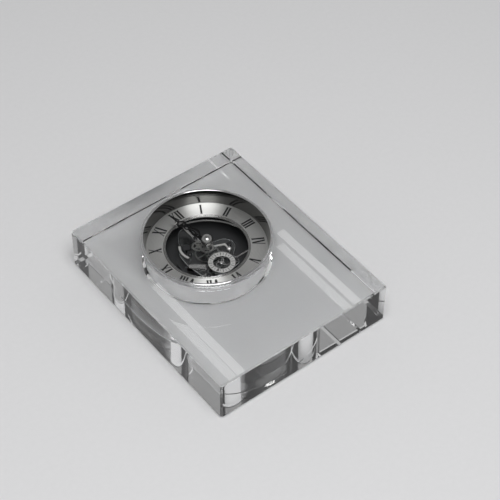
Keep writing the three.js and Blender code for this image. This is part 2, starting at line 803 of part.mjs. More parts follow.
// Openwork hands: swellings of [from, to, half width, rail beside the window], then a slim point.
function handShape(length, hub, swellings) {
  const last = swellings[swellings.length - 1][1];
  const halfWidth = (y) => {
    const swelling = swellings.find(([from, to]) => y >= from && y <= to);
    if (y > last) return HAND_WAIST + ((HAND_TIP - HAND_WAIST) * (y - last)) / (length - last);
    if (!swelling) return HAND_WAIST;
    const [from, to, widest] = swelling;
    return HAND_WAIST + (widest - HAND_WAIST) * Math.sin((Math.PI * (y - from)) / (to - from));
  };
  const steps = 48;
  const start = hub - 0.3;
  const shape = new THREE.Shape();
  for (let i = 0; i <= steps; i += 1) {
    const y = start + (i / steps) * (length - start);
    if (i === 0) shape.moveTo(halfWidth(y), y);
    else shape.lineTo(halfWidth(y), y);
  }
  for (let i = steps; i >= 0; i -= 1) {
    const y = start + (i / steps) * (length - start);
    shape.lineTo(-halfWidth(y), y);
  }
  shape.closePath();
  for (const [from, to, widest, rail] of swellings) {
    const window = new THREE.Path();
    const along = (to - from) / 2 - HAND_BRIDGE;
    window.absellipse(0, (from + to) / 2, widest - rail, along, 0, 2 * Math.PI, true);
    shape.holes.push(window);
  }
  return shape;
}

// Blade and boss, bored for the pipe and turned to the time shown.
function hand(shape, hub, bore, level, turn) {
  const blade = prism(shape, level, level + HAND_THICKNESS, 6);
  const boss = disc(hub, level, level + HAND_THICKNESS);
  return bored(join(blade, boss), bore).rotateZ(THREE.MathUtils.degToRad(turn));
}

function minuteHand() {
  const shape = handShape(MINUTE_HAND_LENGTH, MINUTE_HAND_HUB, [
    [4, 11.2, 1.4, 0.8],
    [11.2, 18.7, 1.6, 0.9],
    [18.7, 23.2, 1.8, 1],
    [23.2, 30.2, 3.6, 1.7],
  ]);
  const turn = 6 * MINUTES_TO_TWELVE;
  return hand(shape, MINUTE_HAND_HUB, CENTRE_ARBOR_RADIUS, MINUTE_HAND_LEVEL, turn);
}

function hourHand() {
  const shape = handShape(HOUR_HAND_LENGTH, HOUR_HAND_HUB, [
    [4.4, 8.6, 1.9, 1],
    [8.6, 20, 3.3, 1.5],
    [20, 24, 1.6, 0.9],
  ]);
  const turn = 0.5 * MINUTES_TO_TWELVE;
  return hand(shape, HOUR_HAND_HUB, cannonOuter + RUNNING_GAP, HOUR_HAND_LEVEL, turn);
}

// Ball over the hands, cut flat where it sits on the minute hand.
function centreCap() {
  const seat = MINUTE_HAND_LEVEL + HAND_THICKNESS;
  const profile = [[0, seat]];
  const steps = 8;
  const low = Math.asin((seat - BALL_CENTRE_LEVEL) / BALL_RADIUS);
  for (let i = 0; i < steps; i += 1) {
    const angle = low + ((Math.PI / 2 - low) * i) / steps;
    profile.push([
      BALL_RADIUS * Math.cos(angle),
      BALL_CENTRE_LEVEL + BALL_RADIUS * Math.sin(angle),
    ]);
  }
  profile.push([0, BALL_CENTRE_LEVEL + BALL_RADIUS]);
  return turned(profile, 20);
}

// Stepping motor: a soft-iron stator round the rotor, and the coil that drives it.
function coilEnds() {
  const half = COIL_LENGTH / 2 + FLANGE_THICKNESS + 1.2;
  return [away(coilMiddle, half, coilTurn + 180), away(coilMiddle, half, coilTurn)];
}

function stator() {
  const [far, near] = coilEnds();
  const bottom = rearPlateTop;
  const top = bottom + STATOR_THICKNESS;
  const eye = disc(ROTOR_RADIUS + STATOR_GAP + 1.1, bottom, top, rotorArbor);
  const bars = [
    strip(near, rotorArbor, 2.4, bottom, top),
    strip(far, away(far, 6, -100), 2, bottom, top),
    strip(away(far, 6, -100), rotorArbor, 2, bottom, top),
  ];
  const lugs = [far, near].map((at) => disc(1.3, bottom, top, at));
  const bore = disc(ROTOR_RADIUS + STATOR_GAP, bottom - 1, top + 1, rotorArbor);
  return geometryOf(
    [...bars, ...lugs].reduce((sum, piece) => sum.add(solid(piece)), solid(eye)).subtract(solid(bore)),
  );
}

function strip(from, to, width, bottom, top) {
  const length = Math.hypot(to[0] - from[0], to[1] - from[1]);
  const bar = new THREE.BoxGeometry(length, width, top - bottom);
  bar.rotateZ(Math.atan2(to[1] - from[1], to[0] - from[0]));
  return bar.translate((from[0] + to[0]) / 2, (from[1] + to[1]) / 2, (bottom + top) / 2);
}

// Pieces of the coil lie along their own axis and are then turned into place.
function alongCoil(profile) {
  const points = [...profile, profile[0]].map(([r, y]) => new THREE.Vector2(r, y));
  const geometry = new THREE.LatheGeometry(points, SMALL);
  geometry.rotateZ(THREE.MathUtils.degToRad(coilTurn - 90));
  return geometry.translate(coilMiddle[0], coilMiddle[1], COIL_LEVEL);
}

function coilBobbin() {
  const half = COIL_LENGTH / 2;
  const end = half + FLANGE_THICKNESS;
  const inner = CORE_RADIUS + SLIP_GAP;
  const flange = COIL_RADIUS + 0.15;
  return alongCoil([
    [inner, -end],
    [flange, -end],
    [flange, -half],
    [BOBBIN_RADIUS, -half],
    [BOBBIN_RADIUS, half],
    [flange, half],
    [flange, end],
    [inner, end],
  ]);
}

function coilWinding() {
  const half = COIL_LENGTH / 2 - SLIP_GAP;
  const inner = BOBBIN_RADIUS + SLIP_GAP;
  return alongCoil([
    [inner, -half],
    [COIL_RADIUS, -half],
    [COIL_RADIUS, half],
    [inner, half],
  ]);
}

// Iron core through the bobbin, with a leg at each end down to the stator.
function coilCore() {
  const statorTop = rearPlateTop + STATOR_THICKNESS;
  const [far, near] = coilEnds();
  const rod = strip(far, near, 0.8, COIL_LEVEL - 0.4, COIL_LEVEL + 0.4);
  const legs = [far, near].map((at) => disc(0.8, statorTop, COIL_LEVEL + 0.6, at, TINY));
  return join(rod, ...legs);
}

function circuitBoard() {
  const [x, y] = boardCorner;
  const [width, height] = boardSize;
  const bottom = rearPlateTop;
  const top = bottom + BOARD_THICKNESS;
  const board = new THREE.BoxGeometry(width, height, top - bottom);
  board.translate(x + width / 2, y + height / 2, (bottom + top) / 2);
  const chip = disc(2, top - 0.2, top + 0.8, [x + 3.4, y + 4.2]);
  const quartz = new THREE.BoxGeometry(5, 1.8, 1.6);
  quartz.translate(x + 7.4, y + 2, top + 0.6);
  return join(board, chip, quartz);
}

// Cell box behind the case
function coverScrewPlaces() {
  return [90, 210, 330].map((degrees) => polar(COVER_SCREW_CIRCLE, degrees));
}

const coverTop = CASE_BACK_RECESS - SLIP_GAP;

function rearCover() {
  const shell = turned(
    [
      [0, COVER_BACK],
      [COVER_RADIUS, COVER_BACK],
      [COVER_RADIUS, coverTop],
      [COVER_RADIUS - COVER_WALL, coverTop],
      [COVER_RADIUS - COVER_WALL, COVER_BACK + COVER_WALL],
      [0, COVER_BACK + COVER_WALL],
    ],
    FINE,
  );
  const door = disc(DOOR_RADIUS + SLIP_GAP, 0, COVER_BACK + COVER_WALL + 1, cellMiddle, 40);
  const stem = disc(FAST_ARBOR_RADIUS + SLIP_GAP, 0, SLAB_DEPTH, settingArbor, TINY);
  const screws = coverScrewPlaces().map((at) =>
    disc(SCREW_SHANK_RADIUS + SLIP_GAP, 0, SLAB_DEPTH, at, TINY),
  );
  const bosses = coverScrewPlaces().map((at) => disc(1.8, COVER_BACK + 0.4, coverTop, at));
  const body = bosses.reduce((sum, boss) => sum.add(solid(boss)), solid(shell));
  return geometryOf([door, stem, ...screws].reduce((sum, tool) => sum.subtract(solid(tool)), body));
}

function batteryCover() {
  const plug = disc(DOOR_RADIUS, COVER_BACK, COVER_BACK + COVER_WALL, cellMiddle, 40);
  const slot = new THREE.BoxGeometry(9, 1.4, 1.2);
  slot.translate(cellMiddle[0], cellMiddle[1], COVER_BACK);
  return cut(plug, slot);
}

function battery() {
  const bottom = COVER_BACK + COVER_WALL + FREE_GAP;
  return join(
    disc(CELL_RADIUS, bottom, bottom + CELL_HEIGHT - 0.4, cellMiddle, 32),
    disc(CELL_RADIUS - 1, bottom + CELL_HEIGHT - 0.8, bottom + CELL_HEIGHT, cellMiddle, 32),
  );
}

function contactTop() {
  const bottom = COVER_BACK + COVER_WALL + FREE_GAP + CELL_HEIGHT + SLIP_GAP;
  const leaf = new THREE.BoxGeometry(16, 2.4, 0.3);
  return leaf.translate(cellMiddle[0] - 3, cellMiddle[1], bottom + 0.15);
}

function contactSide() {
  const outer = CELL_RADIUS + SLIP_GAP + 0.4;
  const shape = new THREE.Shape();
  shape.absarc(0, 0, outer, 0.6, 2.4, false);
  shape.absarc(0, 0, outer - 0.4, 2.4, 0.6, true);
  shape.closePath();
  const bottom = COVER_BACK + COVER_WALL + SLIP_GAP;
  return prism(shape, bottom, bottom + 3.4).translate(cellMiddle[0], cellMiddle[1], 0);
}

place("crystal_block", crystalBlock(), "crystal", root);
place("seat_ring", seatRing(), "rubber");
place("insert_case", insertCase(), "polished");
place("background_plate", backgroundPlate(), "blackened");
place("spacer_ring", spacerRing(), "blackened");
place("dial_ring", dialRing(), "brushed");
place("dial_lip", dialLip(), "polished");
place("chapter_wall", chapterWall(), "polished");
place("bezel", bezel(), "polished");

place("movement_rear_plate", rearPlate(), "blackened");
place("movement_front_plate", frontPlate(), "acrylic");
pillars.forEach((at, i) => {
  const seat = frontPlateTop + (armed.includes(i) ? ARM_THICKNESS : 0);
  place(`pillar_${i + 1}`, pillar(at), "steel");
  place(`plate_screw_${i + 1}`, screw(at, seat, FRONT_PLATE_BOTTOM - SCREW_REACH), "steel");
});
place("carrier_arm_top", carrierArm(pillars[1], 90, TOP_ARM_WIDTH, 6), "polished");
place("carrier_arm_right", carrierArm(pillars[3], 0, ARM_WIDTH, 0, ARM_OFFSET), "polished");
place("carrier_arm_left", carrierArm(pillars[4], 180, ARM_WIDTH, 0, -ARM_OFFSET), "polished");
place("side_bridge", sideBridge(), "polished");
place("lower_bridge", lowerBridge(), "polished");
place("lever", lever(), "polished");
place("stud", stud(), "polished");

place("centre_wheel", centreWheel(), "brass");
place("third_wheel", thirdWheel(), "brass");
place("seconds_wheel", secondsWheel(), "brass");
place("seconds_disc", secondsDisc(), "polished");
place("step_wheel", stepWheel(), "brass");
place("rotor", rotor(), "magnet");

place("cannon_pinion", cannonPinion(), "steel");
place("hour_wheel", hourWheel(), "brass");
place("motion_wheel", motionWheel(), "brass");
place("setting_arbor", settingArborWithWheel(), "steel");
place("setting_knob", settingKnob(), "blackPlastic");
place("minute_hand", minuteHand(), "blackPaint");
place("hour_hand", hourHand(), "blackPaint");
place("centre_cap", centreCap(), "polished");

place("stator", stator(), "steel");
place("coil_bobbin", coilBobbin(), "blackPlastic");
place("coil_winding", coilWinding(), "copper");
place("coil_core", coilCore(), "steel");
place("circuit_board", circuitBoard(), "board");

place("rear_cover", rearCover(), "blackPlastic");
coverScrewPlaces().forEach((at, i) => {
  place(`cover_screw_${i + 1}`, screw(at, COVER_BACK, caseFloorTop + 0.3, false), "steel");
});
place("battery_cover", batteryCover(), "blackPlastic");
place("battery", battery(), "steel");
place("contact_top", contactTop(), "brass");
place("contact_side", contactSide(), "brass");

export default root;
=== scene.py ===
"""Desk clock in a clear crystal block, lying on its back: dressed model, lights and camera.

Lengths in the classes are millimetres in the part's own frame: +X to 3 o'clock, +Y to
12 o'clock, +Z out of the dial. Places on the dial are counted from its middle.
"""

import logging
import math
from dataclasses import dataclass, field
from enum import Enum
from typing import Any, Iterable, Sequence

import bmesh
import bpy
from mathutils import Matrix, Vector


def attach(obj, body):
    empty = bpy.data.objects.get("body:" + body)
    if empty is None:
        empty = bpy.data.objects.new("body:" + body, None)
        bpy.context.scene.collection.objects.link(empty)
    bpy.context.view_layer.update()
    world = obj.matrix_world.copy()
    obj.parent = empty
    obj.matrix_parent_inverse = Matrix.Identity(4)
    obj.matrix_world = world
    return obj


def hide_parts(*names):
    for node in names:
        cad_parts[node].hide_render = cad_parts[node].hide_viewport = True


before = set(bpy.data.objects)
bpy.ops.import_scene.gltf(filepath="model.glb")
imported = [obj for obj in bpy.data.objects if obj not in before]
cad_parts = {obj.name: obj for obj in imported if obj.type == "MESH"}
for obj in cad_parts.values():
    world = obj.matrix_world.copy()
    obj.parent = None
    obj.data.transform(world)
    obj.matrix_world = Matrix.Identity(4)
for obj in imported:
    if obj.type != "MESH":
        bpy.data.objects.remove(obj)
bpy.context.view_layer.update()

LOG = logging.getLogger("crystal_clock")
MM = 0.001
# How far the dial's middle lies above the slab's
DIAL_Y = 24.0
# Edges sharper than this many degrees are chamfered
SHARP_EDGE = 35.0
# Facets round the widest rings
RING_STEPS = 256
Point = tuple[float, float]
Triple = tuple[float, float, float]
Piece = bpy.types.Object

# Arbors of the wheels, from the middle of the dial
THIRD_AT: Point = (5.32129, -9.39807)
SECONDS_AT: Point = (0.0, -18.1)
STEP_AT: Point = (-7.1726, -18.72752)
ROTOR_AT: Point = (-11.62738, -14.27275)
MOTION_AT: Point = (-3.52, 6.09682)
SETTING_AT: Point = (-11.14102, 10.49682)


class Body(Enum):
    """Rigid bodies of the clock that pieces ride on."""

    BLOCK = "block"
    MINUTE = "minute"
    HOUR = "hour"
    MOTION = "motion"
    SETTING = "setting"
    SECONDS = "seconds"
    THIRD = "third"
    CENTRE = "centre"
    STEP = "step"


# Materials


def linear(code: str) -> tuple[float, float, float, float]:
    """Turns an sRGB hex colour into linear RGBA.

    Args:
        code: six hex digits after a hash.

    Returns:
        Linear red, green and blue, and an alpha of 1.
    """
    channels = [int(code[i : i + 2], 16) / 255 for i in (1, 3, 5)]
    values = [c / 12.92 if c <= 0.04045 else ((c + 0.055) / 1.055) ** 2.4 for c in channels]
    return (values[0], values[1], values[2], 1.0)


def add_node(tree: bpy.types.NodeTree, kind: str, settings: dict[str | int, Any] | None = None,
             links: dict[str | int, Any] | None = None) -> bpy.types.Node:
    """Adds one shader node with its settings and incoming links.

    Args:
        tree: the material's or world's node tree.
        kind: the node's Blender type name.
        settings: node properties, or inputs by name or number, with their values.
        links: inputs by name or number, with the output sockets that feed them.

    Returns:
        The new node.
    """
    node = tree.nodes.new(kind)
    for name, value in (settings or {}).items():
        if isinstance(name, int) or name in node.inputs:
            node.inputs[name].default_value = value
        else:
            setattr(node, name, value)
    for name, socket in (links or {}).items():
        tree.links.new(socket, node.inputs[name])
    return node


def start_material(name: str) -> tuple[bpy.types.Material, bpy.types.NodeTree, bpy.types.Node]:
    """Starts a material that has only its output node.

    Args:
        name: the material's name.

    Returns:
        The material, its node tree and its output node.
    """
    material = bpy.data.materials.new(name)
    material.use_nodes = True
    material.node_tree.nodes.clear()
    return material, material.node_tree, add_node(material.node_tree, "ShaderNodeOutputMaterial")


def grain(tree: bpy.types.NodeTree, size: float, stretch: Triple = (1, 1, 1),
          detail: float = 2.0) -> bpy.types.Node:
    """Adds noise on Object coordinates whose blotches have a real size.

    Args:
        tree: the material's node tree.
        size: width of one blotch in millimetres.
        stretch: scale along each axis, to draw the grain out.
        detail: how much finer grain lies over it.

    Returns:
        The noise node.
    """
    place = add_node(tree, "ShaderNodeTexCoord")
    mapping = add_node(tree, "ShaderNodeMapping", {"Scale": stretch}, {"Vector": place.outputs["Object"]})
    return add_node(tree, "ShaderNodeTexNoise", {"Scale": 1000.0 / size, "Detail": detail},
                    {"Vector": mapping.outputs["Vector"]})


def two_tones(tree: bpy.types.NodeTree, light: str, dark: str,
              by: bpy.types.NodeSocket) -> bpy.types.NodeSocket:
    """Blends two close tones by a pattern.

    Args:
        tree: the material's node tree.
        light: sRGB hex of the lighter tone.
        dark: sRGB hex of the darker tone.
        by: the pattern's output.

    Returns:
        The blended colour's output.
    """
    mix = add_node(tree, "ShaderNodeMix", {"data_type": "RGBA", 6: linear(light), 7: linear(dark)}, {0: by})
    return mix.outputs[2]


@dataclass(frozen=True)
class ClearSolid:
    """Clear solid, polished all over: optical crystal or cast acrylic."""

    name: str
    ior: float
    roughness: float
    tints: tuple[str, str] = ("#ffffff", "#fcfdfd")
    clear: float = 1.0

    def material(self) -> bpy.types.Material:
        """Makes the clear material, with a barely seen cloud of tint as poured glass has.

        Returns:
            The material.
        """
        material, tree, out = start_material(self.name)
        cloud = grain(tree, 60.0, detail=1.0)
        shader = add_node(tree, "ShaderNodeBsdfPrincipled", {
            "Transmission Weight": self.clear, "IOR": self.ior, "Roughness": self.roughness},
            {"Base Color": two_tones(tree, *self.tints, cloud.outputs["Fac"])})
        tree.links.new(shader.outputs["BSDF"], out.inputs["Surface"])
        return material


@dataclass(frozen=True)
class Metal:
    """Metal whose tone and polish vary a little over a real grain size."""

    name: str
    tones: tuple[str, str]
    roughness: float
    spread: float
    grain: float
    stretch: Triple = (1.0, 1.0, 1.0)

    def material(self) -> bpy.types.Material:
        """Makes the metal from two tones and a range of roughness.

        Returns:
            The material.
        """
        material, tree, out = start_material(self.name)
        noise = grain(tree, self.grain, self.stretch)
        rough = add_node(tree, "ShaderNodeMapRange", {
            "To Min": max(self.roughness - self.spread, 0.01), "To Max": self.roughness + self.spread},
            {"Value": noise.outputs["Fac"]})
        shader = add_node(tree, "ShaderNodeBsdfPrincipled", {"Metallic": 1.0}, {
            "Base Color": two_tones(tree, *self.tones, noise.outputs["Fac"]),
            "Roughness": rough.outputs["Result"]})
        tree.links.new(shader.outputs["BSDF"], out.inputs["Surface"])
        return material


@dataclass(frozen=True)
class BrushedDial:
    """Silvered brass, brushed in fine circles round the dial's middle."""

    name: str
    tones: tuple[str, str]
    roughness: float
    line: float
    sweep: float

    def material(self) -> bpy.types.Material:
        """Makes circular brushing: rings in tone and bump, and a gloss drawn across them.

        Returns:
            The material.
        """
        material, tree, out = start_material(self.name)
        place = add_node(tree, "ShaderNodeTexCoord")
        centred = add_node(tree, "ShaderNodeMapping", {"Location": (0, -DIAL_Y * MM, 0)},
                           {"Vector": place.outputs["Object"]})
        rings = add_node(tree, "ShaderNodeTexWave", {
            "wave_type": "RINGS", "rings_direction": "Z", "Scale": 1000.0 / self.line / 20.0 * math.tau / 2,
            "Distortion": 3.0, "Detail": 3.0, "Detail Scale": 2.0}, {"Vector": centred.outputs["Vector"]})
        bump = add_node(tree, "ShaderNodeBump", {"Distance": 0.002 * MM, "Strength": 0.5},
                        {"Height": rings.outputs["Fac"]})
        round_middle = add_node(tree, "ShaderNodeTangent", {"direction_type": "RADIAL", "axis": "Z"})
        shader = add_node(tree, "ShaderNodeBsdfPrincipled", {
            "Metallic": 1.0, "Roughness": self.roughness, "Anisotropic": self.sweep,
            "Anisotropic Rotation": 0.25}, {
            "Base Color": two_tones(tree, *self.tones, rings.outputs["Fac"]),
            "Normal": bump.outputs["Normal"], "Tangent": round_middle.outputs["Tangent"]})
        tree.links.new(shader.outputs["BSDF"], out.inputs["Surface"])
        return material


@dataclass(frozen=True)
class Coating:
    """Lacquer, ink, rubber or moulded plastic with a fine surface texture."""

    name: str
    tones: tuple[str, str]
    roughness: float
    grain: float
    bump: float
    coat: float = 0.0
    gloss: float = 0.5

    def material(self) -> bpy.types.Material:
        """Makes the coating from two close tones and a fine bump.

        Returns:
            The material.
        """
        material, tree, out = start_material(self.name)
        noise = grain(tree, self.grain)
        bump = add_node(tree, "ShaderNodeBump", {"Distance": self.bump * MM, "Strength": 0.6},
                        {"Height": noise.outputs["Fac"]})
        shader = add_node(tree, "ShaderNodeBsdfPrincipled", {
            "Roughness": self.roughness, "Specular IOR Level": self.gloss,
            "Coat Weight": self.coat, "Coat Roughness": 0.08}, {
            "Base Color": two_tones(tree, *self.tones, noise.outputs["Fac"]),
            "Normal": bump.outputs["Normal"]})
        tree.links.new(shader.outputs["BSDF"], out.inputs["Surface"])
        return material


class Finish(Enum):
    """Every finish on the clock, by what it is made of."""

    # Colourless and mirror smooth: it shows by its bright edges and by what it bends
    CRYSTAL = ClearSolid("optical_crystal_polished", 1.52, 0.0)
    # As clear as the block, seen by its bright cut edges
    ACRYLIC = ClearSolid("acrylic_cast_polished", 1.49, 0.0, ("#f4f6f6", "#eceff0"))
    # Its milled edges: matt, so they gather light and draw the plate's outline
    ACRYLIC_EDGE = ClearSolid("acrylic_edge_milled", 1.49, 0.4, ("#eceff0", "#dce0e2"), 0.25)
    # Chromed brass: nearly a mirror, with faint waves
    CHROME = Metal("chromed_brass_polished", ("#dfdfe0", "#cfcfd1"), 0.06, 0.03, 6.0)
    # Tumbled ball and stud: a soft mirror, so the lamp spreads to a broad patch
    TUMBLED = Metal("nickelled_brass_tumbled", ("#b4b4b3", "#9d9d9c"), 0.22, 0.03, 2.0)
    # Nickel on a spun wall, drawn round: a soft mirror whose tone is painted darker than nickel, as painted
    # shade for its dim reflections
    NICKEL = Metal("nickel_plate_spun_painted_dark", ("#787877", "#686867"), 0.12, 0.03, 1.2, (0.3, 0.3, 1.0))
    # Turned steel: pillars, screws and arbors, bright with fine tool marks
    STEEL = Metal("steel_turned_bright", ("#c6c7c9", "#a6a7aa"), 0.24, 0.06, 0.8)
    # Stamped silicon steel: dull grey
    IRON = Metal("silicon_steel_stamped", ("#8c8d8f", "#77787b"), 0.4, 0.06, 0.8)
    # Wheel brass under nickel: neutral grey, softly brushed
    BRASS = Metal("wheel_brass_nickelled", ("#b6b6b4", "#979795"), 0.38, 0.06, 0.7)
    # Silver plate on the arms and bridges: pale satin
    SILVER = Metal("silver_plate_satin", ("#c2c2c1", "#a9a9a8"), 0.24, 0.05, 0.9)
    # Silvered and lightly grained, on the seconds disc: white and half matt
    SILVERED = Metal("silvered_brass_grained", ("#ececea", "#d6d6d4"), 0.5, 0.05, 0.6)
    # Black nickel inside the case: dark, with soft reflections
    BLACK_NICKEL = Metal("black_nickel_satin", ("#5c5c5e", "#49494b"), 0.16, 0.04, 1.5)
    # Ground ferrite: dark grey, faintly sparkling
    MAGNET = Metal("ferrite_magnet_ground", ("#4c4d50", "#3f4043"), 0.42, 0.05, 0.5)
    # Copper wire under black enamel, its turns 0.2 mm apart
    COPPER = Metal("copper_wire_enamelled", ("#211d1b", "#171413"), 0.35, 0.05, 0.2)
    # Silvered dial, lines drawn 0.5 mm apart so that they show: sectors of light turn with the view
    DIAL = BrushedDial("silvered_brass_brushed", ("#eaeae8", "#dcdcda"), 0.39, 0.5, 0.94)
    # Stoved lacquer on the hands: deep black, half matt
    LACQUER = Coating("stoved_lacquer_black", ("#040405", "#09090a"), 0.5, 0.8, 0.002, gloss=0.2)
    # Pad-printed ink: flat black
    INK = Coating("pad_print_ink_black", ("#0e0e10", "#18191b"), 0.5, 0.3, 0.002)
    # Black anodised aluminium: soft dark ground behind the wheels
    ANODISED = Coating("anodised_aluminium_black", ("#2f3031", "#3a3b3c"), 0.42, 0.5, 0.003)
    # Nitrile rubber: matt and slightly grey
    RUBBER = Coating("nitrile_rubber_black", ("#161617", "#1e1e1f"), 0.85, 0.7, 0.01)
    # Moulded ABS with a fine spark-eroded grain
    PLASTIC = Coating("abs_moulded_black", ("#1a1a1c", "#242427"), 0.5, 0.5, 0.012)
    # Solder mask over glass fibre: glossy, nearly black with a breath of green
    BOARD = Coating("solder_mask_black", ("#101412", "#181d1a"), 0.35, 1.2, 0.006, 0.3)

    def material(self) -> bpy.types.Material:
        """Gives the finish's material, made the first time it is asked for."""
        return bpy.data.materials.get(self.value.name) or self.value.material()


# Shaping


def only(piece: Piece) -> None:
    """Leaves one piece selected and active, so that an operator acts on it alone.

    Args:
        piece: the piece.
    """
    bpy.ops.object.select_all(action="DESELECT")
    piece.select_set(True)
    bpy.context.view_layer.objects.active = piece


def settled(piece: Piece) -> Piece:
    """Puts a piece's place, turn and size into its mesh.

    Args:
        piece: the piece.

    Returns:
        The same piece.
    """
    only(piece)
    bpy.ops.object.transform_apply(location=True, rotation=True, scale=True)
    return piece


def close_up() -> None:
    """Merges doubled corners and turns the faces outwards."""
    bpy.ops.mesh.select_all(action="SELECT")
    bpy.ops.mesh.remove_doubles(threshold=1e-6)
    bpy.ops.mesh.normals_make_consistent(inside=False)
    bpy.ops.object.mode_set(mode="OBJECT")


def pulled(x: float, y: float, z: float) -> None:
    """Extrudes what is selected by a distance in millimetres."""
    bpy.ops.mesh.extrude_region_move(TRANSFORM_OT_translate={"value": (x * MM, y * MM, z * MM)})


def turned(name: str, profile: Sequence[Point], at: Point = (0.0, 0.0), steps: int = 192) -> Piece:
    """Turns a profile round an upright axis, ring by ring.

    Args:
        name: the piece's name.
        profile: radius and level of each corner; it starts and ends at radius 0 on a solid piece.
        at: the axis, from the middle of the dial.
        steps: how many facets go round.

    Returns:
        The turned piece.
    """
    solid = profile[0][0] == 0
    rings = [corner for corner in profile if corner[0] > 0]
    x, y = at[0] * MM, (at[1] + DIAL_Y) * MM
    bpy.ops.object.select_all(action="DESELECT")
    bpy.ops.mesh.primitive_circle_add(vertices=steps, radius=rings[0][0] * MM,
                                      location=(x, y, rings[0][1] * MM),
                                      fill_type="NGON" if solid else "NOTHING")
    piece = settled(bpy.context.object)
    piece.name = name
    bpy.ops.object.mode_set(mode="EDIT")
    bpy.ops.mesh.select_all(action="SELECT")
    for (r0, z0), (r1, z1) in zip(rings, rings[1:]):
        pulled(0, 0, z1 - z0)
        bpy.ops.transform.resize(value=(r1 / r0, r1 / r0, 1), center_override=(x, y, 0))
    if not solid:
        bpy.ops.mesh.select_mode(type="EDGE")
        bpy.ops.mesh.select_all(action="DESELECT")
        bpy.ops.mesh.select_non_manifold()
        bpy.ops.mesh.bridge_edge_loops()
    elif profile[-1][1] != rings[-1][1]:
        pulled(0, 0, profile[-1][1] - rings[-1][1])
        bpy.ops.mesh.merge(type="CENTER")
    close_up()
    return piece


def traced(points: Sequence[Point], level: float) -> None:
    """Draws a closed line in the mesh being edited, from corner to corner.

    Args:
        points: the corners, from the middle of the dial.
        level: height of the line.
    """
    x, y = points[0]
    bpy.ops.mesh.primitive_plane_add(size=MM, location=(x * MM, (y + DIAL_Y) * MM, level * MM))
    bpy.ops.mesh.merge(type="CENTER")
    for (x0, y0), (x1, y1) in zip(points, [*points[1:], points[0]]):
        pulled(x1 - x0, y1 - y0, 0)


def sheet_cut(name: str, loops: Sequence[Sequence[Point]], bottom: float, top: float,
              chamfer: float = 0.0) -> Piece:
    """Cuts a piece with holes out of sheet.

    Args:
        name: the piece's name.
        loops: the outline and then each hole, from the middle of the dial.
        bottom: level of the lower face.
        top: level of the upper face.
        chamfer: width of the small chamfer on every edge.

    Returns:
        The piece.
    """
    bpy.ops.object.select_all(action="DESELECT")
    bpy.ops.mesh.primitive_plane_add(size=MM)
    piece = bpy.context.object
    piece.name = name
    bpy.ops.object.mode_set(mode="EDIT")
    bpy.ops.mesh.select_mode(type="VERT")
    bpy.ops.mesh.delete(type="VERT")
    for loop in loops:
        traced(loop, bottom)
    bpy.ops.mesh.select_all(action="SELECT")
    bpy.ops.mesh.remove_doubles(threshold=1e-6)
    bpy.ops.mesh.fill()
    pulled(0, 0, top - bottom)
    close_up()
    return chamfered(piece, chamfer) if chamfer else piece


def chamfered(piece: Piece, width: float) -> Piece:
    """Breaks a piece's sharp edges with flat chamfers.

    Args:
        piece: the piece.
        width: the chamfers' width in millimetres.

    Returns:
        The same piece.
    """
    only(piece)
    bevel = piece.modifiers.new("edges", "BEVEL")
    bevel.width = width * MM
    bevel.segments = 1
    bevel.limit_method = "ANGLE"
    bevel.angle_limit = math.radians(SHARP_EDGE)
    bpy.ops.object.modifier_apply(modifier=bevel.name)
    return piece


def joined(name: str, pieces: Sequence[Piece]) -> Piece:
    """Joins the shells of one part into one object.

    Args:
        name: the part's name.
        pieces: its separate shells.

    Returns:
        The joined object.
    """
    only(pieces[0])
    for piece in pieces:
        piece.select_set(True)
    if len(pieces) > 1:
        bpy.ops.object.join()
    pieces[0].name = name
    return pieces[0]


def cut_away(piece: Piece, tool: Piece) -> Piece:
    """Cuts a tool's shape out of a piece and removes the tool.

    Args:
        piece: the piece.
        tool: the tool.

    Returns:
        The same piece.
    """
    only(piece)
    cutter = piece.modifiers.new("cut", "BOOLEAN")
    cutter.solver = "EXACT"
    cutter.object = tool
    bpy.ops.object.modifier_apply(modifier=cutter.name)
    bpy.data.objects.remove(tool)
    return piece


def copied(piece: Piece, name: str, move: Point = (0.0, 0.0), turn: float = 0.0,
           lift: float = 0.0) -> Piece:
    """Copies a piece with its own mesh to another place on the dial.

    Args:
        piece: the piece to copy.
        name: the copy's name.
        move: how far the copy moves before it turns.
        turn: degrees anticlockwise round the middle of the dial.
        lift: how far the copy moves up.

    Returns:
        The copy.
    """
    only(piece)
    bpy.ops.object.duplicate(linked=False)
    copy = bpy.context.object
    copy.name = name
    middle = Matrix.Translation((0, DIAL_Y * MM, 0))
    copy.matrix_world = (middle @ Matrix.Rotation(math.radians(turn), 4, "Z") @ middle.inverted()
                         @ Matrix.Translation((move[0] * MM, move[1] * MM, lift * MM)))
    return settled(copy)


def dress(piece: Piece, finish: Finish, *nodes: str, slot: str = "polished_steel",
          body: Body = Body.BLOCK, crease: float = 30.0) -> None:
    """Gives a finished piece its shading, material, body and the CAD nodes it stands for.

    Args:
        piece: the finished piece.
        finish: its finish.
        nodes: the CAD nodes that it replaces.
        slot: the record's material slot; not used.
        body: the body that it rides on.
        crease: edges sharper than this many degrees stay sharp.
    """
    only(piece)
    bpy.ops.object.shade_smooth_by_angle(angle=math.radians(crease))
    piece.data.name = piece.name
    piece.data.materials.clear()
    piece.data.materials.append(finish.material())
    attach(piece, body.value)
    if nodes:
        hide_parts(*nodes)
    LOG.info("%s: %d faces, rides on %s", piece.name, len(piece.data.polygons), body.value)


def coat_nodes(finish: Finish, *nodes: str) -> None:
    """Gives CAD nodes that stay in sight a finish.

    Args:
        finish: the finish.
        nodes: the nodes' names.
    """
    for node in nodes:
        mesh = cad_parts[node].data
        mesh.materials.clear()
        mesh.materials.append(finish.material())
        LOG.info("%s keeps its shape, in %s", node, finish.value.name)


